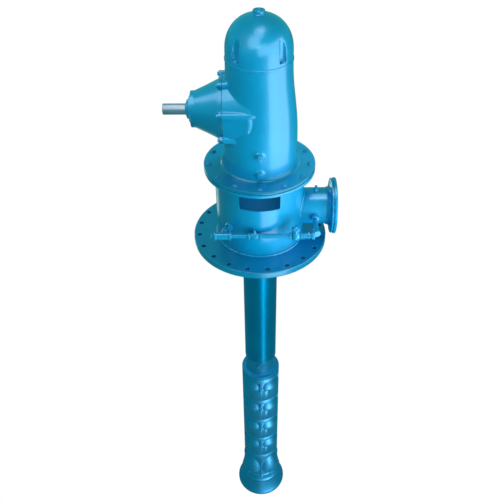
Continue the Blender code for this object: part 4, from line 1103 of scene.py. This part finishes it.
class PUMP_OT_column(bpy.types.Operator):
    """Models the column flange with its bolts, the column pipe and the discharge bowl"""
    bl_idname = "pump.column"
    bl_label = "Column"

    def execute(self, context):
        low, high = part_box("column_flange")[0].z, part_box("column_flange")[1].z
        flange = turned("column_collar", [
            (COLUMN_BORE, high), (COLUMN_BORE, low), (0.168, low), (0.17, low + 0.002), (0.17, high - 0.002),
            (0.168, high)], ROUND, hollow=True)
        settle(flange, "plate_enamel", "column_flange")
        bolt = place(hex_bolt("column_bolts", 0.011, 0.008, 0.0022), tilt=(180.0, 0.0, 0.0))
        settle(ring_of(bolt, COLUMN_BOLTS, COLUMN_BOLT_CIRCLE, 180.0 / COLUMN_BOLTS, low), "bolt_enamel")
        weld = weld_bead("column_weld", COLUMN_RADIUS + 0.002, 0.0055, 110, low - 0.002)
        settle(weld, "weld_enamel", uneven=BEAD_ANGLE)
        pipe = turned("column_tube", [
            (COLUMN_BORE, COLUMN_END), (COLUMN_RADIUS, COLUMN_END), (COLUMN_RADIUS, -0.7), (COLUMN_RADIUS, -0.35),
            (COLUMN_RADIUS, low - GAP), (COLUMN_BORE, low - GAP)], ROUND, hollow=True)
        settle(pipe, "column_enamel", "column_pipe")

        top = BOWL_TOP + GAP
        bowl = turned("outlet_bowl", [
            (SLEEVE_BORE, top), (BOWL_RADIUS - 0.0015, top), (BOWL_RADIUS, top + 0.0015),
            (BOWL_RADIUS, NECK_END - 0.006), (BOWL_RADIUS - 0.0018, NECK_END - 0.0018),
            (BOWL_RADIUS - 0.006, NECK_END), (NECK_RADIUS + 0.01, NECK_END),
            (NECK_RADIUS + 0.003, NECK_END + 0.0025), (NECK_RADIUS, NECK_END + 0.009),
            (NECK_RADIUS, NECK_END + 0.07), (NECK_RADIUS, COLUMN_END - 0.01),
            (NECK_RADIUS + 0.002, COLUMN_END - 0.006), (COLUMN_RADIUS + GAP, COLUMN_END - 0.003),
            (COLUMN_RADIUS + GAP, COLUMN_END - GAP), (COLUMN_BORE - 0.004, COLUMN_END - GAP),
            (COLUMN_BORE - 0.004, NECK_END + 0.03), (SLEEVE_BORE, NECK_END + 0.03)], ROUND, hollow=True)
        boss = turned("boss", [
            (0.027, 0.08), (0.0262, NECK_RADIUS + 0.002), (0.024, NECK_RADIUS + 0.006),
            (0.024, NECK_RADIUS + 0.014), (0.0225, NECK_RADIUS + 0.0165), (0.013, NECK_RADIUS + 0.017),
            (0.012, NECK_RADIUS + 0.015), (0.006, NECK_RADIUS + 0.015)], SMALL_ROUND)
        place(boss, (0.0, 0.0, NECK_END + 0.098), (90.0, 0.0, 0.0))
        cut(bowl, boss, "UNION")
        settle(bowl, "bowl_enamel", "discharge_bowl")
        return {"FINISHED"}


def lobe_radius(angle, height, length, lobe, wall, rib):
    """Outside radius of a lobed wall at an angle round the axis and a height over the lobes' lower end.

    wall gives the plain cone's radius at its foot and at its top. lobe gives how far a lobe reaches from the
    axis, its half angle, the height of its fullest place, and how far it goes up and down from there."""
    reach, half_angle, fullest, above, below = lobe
    quarter = math.pi / 2
    off = (angle % quarter) - quarter / 2
    rise = (height - fullest) / (above if height > fullest else below)
    away = min(1.0, math.hypot(off / half_angle, rise))
    cone = wall[0] + (wall[1] - wall[0]) * height / length
    crown = wall[0] + (wall[1] - wall[0]) * fullest / length
    surface = cone + (reach - crown) * (1.0 - away * away)
    share = min(1.0, max(0.0, (quarter / 2 - abs(off) - RIB_HALF) / RIB_EASE))
    return rib + (surface - rib) * share * share * (3.0 - 2.0 * share)


def push_lobes(piece, top, length, lobe, wall):
    """Pushes a plain turned wall into lobes between two heights."""
    for v in piece.data.vertices:
        radius = math.hypot(v.co.x, v.co.y)
        drop = top - v.co.z
        if not CLOSE < drop < length - CLOSE or radius < wall[1]:
            continue
        reach = lobe_radius(math.atan2(v.co.y, v.co.x), length - drop, length, lobe, wall, radius)
        v.co.x *= reach / radius
        v.co.y *= reach / radius


class PUMP_OT_bowls(bpy.types.Operator):
    """Models one lobed bowl and copies it down the stack"""
    bl_idname = "pump.bowls"
    bl_label = "Bowls"

    def execute(self, context):
        low, top = GAP, BOWL_PITCH
        lobe_top = top - LOBE_START
        rings = [
            (SLEEVE_BORE, top), (BOWL_RADIUS - 0.0012, top), (BOWL_RADIUS, top - 0.0012), (BOWL_RADIUS, lobe_top)]
        steps = 30
        rings += [(BOWL_RADIUS, lobe_top - LOBE_LENGTH * k / steps) for k in range(1, steps + 1)]
        rings += [
            (BOWL_RADIUS, low + 0.0012), (BOWL_RADIUS - 0.0012, low), (0.104, low), (0.104, 0.095), (0.084, 0.115),
            (SLEEVE_BORE, 0.115)]
        bowl = turned("bowl", rings, ROUND * 2, hollow=True)
        push_lobes(bowl, lobe_top, LOBE_LENGTH, BOWL_LOBE, BOWL_WALL)
        for number in range(1, BOWLS + 1):
            piece = copy_to(bowl, Matrix.Translation(on_axis(BOWL_TOP - BOWL_PITCH * (BOWLS + 1 - number))))
            piece.name = f"stage_bowl_{number}"
            done(piece, "bowl_enamel", f"bowl_{number}", uneven=LOBE_ANGLE)
        bpy.data.objects.remove(bowl, do_unlink=True)
        return {"FINISHED"}


class PUMP_OT_suction_bell(bpy.types.Operator):
    """Models the lobed and flared suction bell with its bearing hub"""
    bl_idname = "pump.suction_bell"
    bl_label = "Suction bell"

    def execute(self, context):
        top = BOWL_TOP - BOWL_PITCH * BOWLS
        lobe_top = BELL_LOBE_TOP
        ribs = ((BOWL_RADIUS, 0.0), (0.1295, 0.05), (0.134, 0.125), (0.145, 0.205), (0.148, 0.24))
        rings = [(0.098, top), (BOWL_RADIUS - 0.0012, top), (BOWL_RADIUS, top - 0.0012), (BOWL_RADIUS, lobe_top)]
        steps = 52
        for k in range(1, steps + 1):
            drop = BELL_LOBE_LENGTH * k / steps
            lower, upper = next((a, b) for a, b in zip(ribs, ribs[1:]) if drop <= b[1] + CLOSE)
            t = (drop - lower[1]) / (upper[1] - lower[1])
            rings.append((lower[0] + (upper[0] - lower[0]) * t, lobe_top - drop))
        rings += [
            (0.15, -2.52), (0.1525, -2.53), (0.159, -2.535), (0.1606, -2.543), (0.1592, -2.551), (0.1562, -2.556),
            (0.1582, -2.568), (0.161, -2.586), (0.165, -2.606), (0.1708, -2.628), (0.178, -2.65), (0.1835, -2.664),
            (0.189, -2.674), (0.1922, -2.68), (0.193, -2.686), (0.1925, -2.694), (0.19, -2.7), (0.186, BELL_END),
            (0.178, BELL_END), (0.172, -2.69), (0.16, -2.63), (0.143, -2.56), (0.124, -2.48), (0.102, -2.38)]
        bell = turned("bell", rings, ROUND * 2, hollow=True)
        push_lobes(bell, lobe_top, BELL_LOBE_LENGTH, BELL_LOBE, BELL_WALL)
        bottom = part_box("bell_bearing_cap")[1].z
        hub = turned("hub", [
            (SLEEVE_BORE, bottom), (0.037, bottom), (0.045, bottom + 0.02), (0.041, bottom + 0.1),
            (SLEEVE_BORE, bottom + 0.1)], SMALL_ROUND, hollow=True)
        parts = [bell, hub]
        for k in range(4):
            rib = eased(block("rib", (0.112, 0.012, 0.06), (0.0955, 0.0, bottom + 0.06)), 0.003)
            parts.append(place(rib, tilt=(0.0, 0.0, 45.0 + 90.0 * k)))
        bell = united("intake_bell", parts)
        settle(bell, "bowl_enamel", "suction_bell", uneven=LOBE_ANGLE)
        return {"FINISHED"}


class PUMP_OT_hardware(bpy.types.Operator):
    """Models the drive flange's bolts and the gland's studs"""
    bl_idname = "pump.hardware"
    bl_label = "Bolts and studs"

    def execute(self, context):
        corner = context.scene.pump_finish.bolt_flats
        bolts = ring_of(
            hex_bolt("drive_flange_bolts", corner, 0.0095, 0.0028), DRIVE_BOLTS, DRIVE_BOLT_CIRCLE, -90.0,
            DRIVE_FLANGE_TOP)
        settle(bolts, "bolt_enamel")
        nut = place(hex_bolt("drive_flange_nuts", corner, 0.011, 0.0028, 0.004), tilt=(180.0, 0.0, 0.0))
        nuts = ring_of(nut, DRIVE_BOLTS, DRIVE_BOLT_CIRCLE, -90.0, DRIVE_FLANGE_LOW.z)
        settle(nuts, "bolt_enamel")
        gland_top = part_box("packing_gland")[0].z + 0.008
        stud = turned("stud", [(0.0045, -0.03), (0.0045, 0.024), (0.0035, 0.0255)], 16)
        head = hex_bolt("nut", 0.0085, 0.007, 0.0016)
        studs = ring_of(united("gland_studs", [head, stud]), 2, 0.042, 0.0, gland_top)
        settle(studs, "line_shaft_steel", slot="shaft_steel")
        return {"FINISHED"}


class PUMP_OT_inner_finishes(bpy.types.Operator):
    """Gives the CAD pieces that stay their materials"""
    bl_idname = "pump.inner_finishes"
    bl_label = "Inner finishes"

    def execute(self, context):
        looks = {
            "head_deck": "plate_enamel", "stuffing_box": "cast_enamel", "bell_bearing_cap": "cast_enamel",
            "packing_gland": "gland_bronze", "line_shaft": "line_shaft_steel", "head_shaft": "line_shaft_steel",
            "shaft_coupling": "line_shaft_steel"}
        looks.update({f"impeller_{k}": "gland_bronze" for k in range(1, BOWLS + 1)})
        for name, look in looks.items():
            frame["nodes"][name].data.materials.clear()
            frame["nodes"][name].data.materials.append(finish_named(look))
        return {"FINISHED"}


class PUMP_OT_stage(bpy.types.Operator):
    """Sets up the floor, the lights, the sky and the camera"""
    bl_idname = "pump.stage"
    bl_label = "Stage"

    def execute(self, context):
        stage = context.scene.pump_stage
        floor = eased(block("floor", (90.0, 90.0, 0.05), (0.0, AXIS_Y, BELL_END - 0.0255)), 0.02)
        n = Nodes("pale_floor")
        tint = n.mix(n.spread(n.noise(1.5), 0.3, 0.7), (0.5, 0.51, 0.52, 1.0), (0.53, 0.53, 0.53, 1.0))
        n.finish(tint, n.spread(n.noise(6.0), 0.3, 0.7, 0.75, 0.85), n.bump(n.noise(80.0), 0.05, 0.001))
        self.white_to_camera(
            n.tree, n.shader.outputs[0], n.tree.nodes["Material Output"].inputs["Surface"], "ShaderNodeEmission")
        floor.data.materials.append(n.material)

        plates = ("base_plate", "gear_case_flange")
        drive = ("gear_case", "cover", "cartridge", "seal_cap")
        outlet = ("discharge_", "outlet_flange", "hub_weld")
        lobes = ("stage_bowl", "intake_bell")
        curved = lobes + ("cover",)
        keyed = self.pieces_for("keyed", without=plates + ("cartridge", "seal_cap", "drive_shaft"), above=0.0)
        filled = self.pieces_for("filled", drive, plates)
        shaft = self.pieces_for("shaft_pieces", "drive_shaft")
        plain = self.pieces_for("plain_pieces", without=lobes)
        lobed = self.pieces_for("lobed_pieces", lobes)
        sides = self.pieces_for("side_pieces", without=lobes + outlet)
        dome = self.pieces_for("dome_pieces", "cover")
        flats = self.pieces_for("flat_plates", plates)
        top_plate = self.pieces_for("top_plate", "gear_case_flange")
        low_back = self.pieces_for("low_back", without=curved)
        backed = self.pieces_for("backed", without=curved)
        backed.objects.unlink(bpy.data.objects["gear_case"])
        branch = self.pieces_for("branch_pieces", outlet)
        nose = self.pieces_for("nose_pieces", "cartridge")
        inside = self.pieces_for("inner_pieces", ("barrel", "head_deck", "stuffing"))

        self.softbox("key", (1.8, 1.8), (42.0, 2.1, 0.15), 0.75, watts=stage.key, only=keyed)
        self.softbox("fill", (1.2, 1.2), (-45.0, 1.9, 2.3), 0.9, watts=stage.fill, only=filled)
        self.softbox(
            "shaft light", (0.8, 0.8), (-25.0, 1.6, 2.1), INPUT_HEIGHT, watts=stage.shaft_light, only=shaft)
        self.softbox("shaft panel", (2.4, 0.7), (-10.0, 2.6, 3.0), INPUT_HEIGHT, stage.shaft_panel, only=shaft)
        self.softbox("window light", (0.2, 0.2), (0.0, 0.05, 0.484), None, watts=stage.window_light, only=inside)
        self.softbox("gloss panel", (2.8, 3.0), (62.0, 2.1, 0.75), 0.75, stage.panel, only=plain)
        for side, spot in ((1.2, (12.0, 2.1, 1.6)), (1.5, (-18.0, 1.9, 2.45)), (1.2, (0.0, 1.0, 3.3)),
                           (0.9, (35.0, 0.5, 3.5))):
            self.softbox("dome panel", (side, side), spot, 1.3, stage.dome_panel, only=dome)
        self.softbox("low panel", (1.5, 1.1), (23.0, 2.1, -1.3), -1.3, stage.low_panel, only=sides)
        self.softbox("column line", (0.07, 2.3), (20.0, 0.4, -1.49), -1.49, stage.line, only=plain)
        self.softbox("lobe panel", (0.9, 0.9), (30.0, 2.1, -2.25), -1.9, stage.bell_panel, only=lobed)
        for distance, width, length in ((0.45, 0.08, 0.5), (1.2, 0.16, 1.0)):
            self.softbox(
                "floor strip", (width, length), (6.0, distance, BELL_END + 0.002), None, stage.floor_strip,
                only=lobed)
        self.softbox("back strip", (0.5, 3.0), (-140.0, 2.0, -0.3), -0.3, stage.back, only=backed)
        self.softbox("plate light", (1.2, 1.2), (150.0, 2.1, 1.6), 0.5, watts=stage.plate_light, only=top_plate)
        self.softbox("rim light", (1.4, 0.9), (30.0, 2.1, -0.9), 0.0, watts=stage.rim_light, only=flats)
        self.softbox("disc panel", (1.2, 1.0), (-160.0, 1.5, -0.8), 0.2, stage.disc_panel, only=branch)
        self.softbox("pipe panel", (0.8, 0.8), (46.0, 0.45, 2.6), None, stage.ceiling, only=branch)
        self.softbox("nose panel", (0.9, 0.9), (-7.0, 1.5, 3.2), INPUT_HEIGHT, stage.ceiling, only=nose)
        self.softbox("ceiling", (2.2, 4.2), (-75.0, 0.7, 3.3), 0.5, stage.ceiling, only=low_back)

        world = bpy.data.worlds.new("studio")
        context.scene.world = world
        world.use_nodes = True
        tree = world.node_tree
        sky = tree.nodes["Background"]
        sky.inputs["Color"].default_value = (0.12, 1.0, 0.86, 1.0)
        sky.inputs["Strength"].default_value = stage.sky
        self.white_to_camera(
            tree, sky.outputs[0], tree.nodes["World Output"].inputs["Surface"], "ShaderNodeBackground")

        leave_all()
        bpy.ops.object.camera_add(
            location=(AXIS_X, AXIS_Y - stage.distance, stage.height), rotation=(stage.tilt, 0.0, 0.0))
        camera = context.object
        camera.rotation_euler.rotate_axis("Z", math.radians(CAMERA_ROLL))
        camera.data.sensor_width = 36.0
        camera.data.lens = stage.lens
        camera.data.shift_x = CAMERA_SHIFT
        context.scene.camera = camera
        context.scene.view_settings.view_transform = "Standard"
        return {"FINISHED"}

    def white_to_camera(self, tree, shader, output, kind):
        """Lets the camera see even white paper where the light in the scene sees a darker studio."""
        white = tree.nodes.new(kind)
        white.inputs["Color"].default_value = (1.0, 1.0, 1.0, 1.0)
        seen = tree.nodes.new("ShaderNodeLightPath")
        mixed = tree.nodes.new("ShaderNodeMixShader")
        tree.links.new(seen.outputs["Is Camera Ray"], mixed.inputs[0])
        tree.links.new(shader, mixed.inputs[1])
        tree.links.new(white.outputs[0], mixed.inputs[2])
        tree.links.new(mixed.outputs[0], output)

    def softbox(self, name, size, spot, aim, radiance=1.0, watts=None, only=None):
        """An area light that shows as gloss at a radiance, or as matt light at a power in watts.

        Its spot is an azimuth from -Y towards +X in degrees, a distance from the pump's axis and a height. It
        faces a height on the axis, or straight up or down for None, and lights a collection where one is given."""
        azimuth, distance, height = spot
        a = math.radians(azimuth)
        at = Vector((AXIS_X + distance * math.sin(a), AXIS_Y - distance * math.cos(a), height))
        leave_all()
        bpy.ops.object.light_add(type="AREA", location=at)
        lamp = bpy.context.object
        lamp.name = name
        if aim is not None:
            lamp.rotation_euler = (Vector(on_axis(aim)) - at).to_track_quat("-Z", "Y").to_euler()
        else:
            lamp.rotation_euler = (math.pi if height < 0.0 else 0.0, 0.0, a)
        lamp.data.shape = "RECTANGLE"
        lamp.data.size, lamp.data.size_y = size
        lamp.data.energy = math.pi * radiance * size[0] * size[1] if watts is None else watts
        lamp.visible_camera = False
        lamp.visible_diffuse = watts is not None
        lamp.visible_glossy = watts is None
        lamp.light_linking.receiver_collection = only

    def pieces_for(self, name, starts="", without=(), above=-math.inf):
        """A collection of the meshes that a light is meant for, chosen by how their names start and their top."""
        group = bpy.data.collections.new(name)
        for piece in bpy.context.scene.objects:
            if (piece.type == "MESH" and piece.name.startswith(starts) and not piece.name.startswith(without)
                    and max(corner[2] for corner in piece.bound_box) > above):
                group.objects.link(piece)
        return group


STEPS = (
    PUMP_OT_gear_case, PUMP_OT_gear_cover, PUMP_OT_pinion_cartridge, PUMP_OT_discharge_head, PUMP_OT_base_flange,
    PUMP_OT_discharge, PUMP_OT_bypass, PUMP_OT_column, PUMP_OT_bowls, PUMP_OT_suction_bell, PUMP_OT_hardware,
    PUMP_OT_inner_finishes, PUMP_OT_stage)


class PUMP_PT_panel(bpy.types.Panel):
    """The pump's steps and settings"""
    bl_idname = "PUMP_PT_panel"
    bl_label = "Vertical turbine pump"
    bl_space_type = "VIEW_3D"
    bl_region_type = "UI"
    bl_category = "Pump"

    def draw(self, context):
        layout = self.layout
        for group in (context.scene.pump_colours, context.scene.pump_finish, context.scene.pump_stage):
            box = layout.box()
            for key in group.__annotations__:
                box.prop(group, key)
        for step in STEPS:
            layout.operator(step.bl_idname)


CLASSES = (PumpColours, PumpFinish, PumpStage) + STEPS + (PUMP_PT_panel,)


def register():
    """Registers the classes and the scene's settings."""
    for item in CLASSES:
        bpy.utils.register_class(item)
    bpy.types.Scene.pump_colours = PointerProperty(type=PumpColours)
    bpy.types.Scene.pump_finish = PointerProperty(type=PumpFinish)
    bpy.types.Scene.pump_stage = PointerProperty(type=PumpStage)


def unregister():
    """Removes the scene's settings and the classes."""
    for name in ("pump_colours", "pump_finish", "pump_stage"):
        delattr(bpy.types.Scene, name)
    for item in reversed(CLASSES):
        bpy.utils.unregister_class(item)


def main():
    """Models and finishes the whole pump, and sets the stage."""
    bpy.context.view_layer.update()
    register()
    bpy.ops.pump.gear_case()
    bpy.ops.pump.gear_cover()
    bpy.ops.pump.pinion_cartridge()
    bpy.ops.pump.discharge_head()
    bpy.ops.pump.base_flange()
    bpy.ops.pump.discharge()
    bpy.ops.pump.bypass()
    bpy.ops.pump.column()
    bpy.ops.pump.bowls()
    bpy.ops.pump.suction_bell()
    bpy.ops.pump.hardware()
    bpy.ops.pump.inner_finishes()
    bpy.ops.pump.stage()


if __name__ == "__main__":
    main()
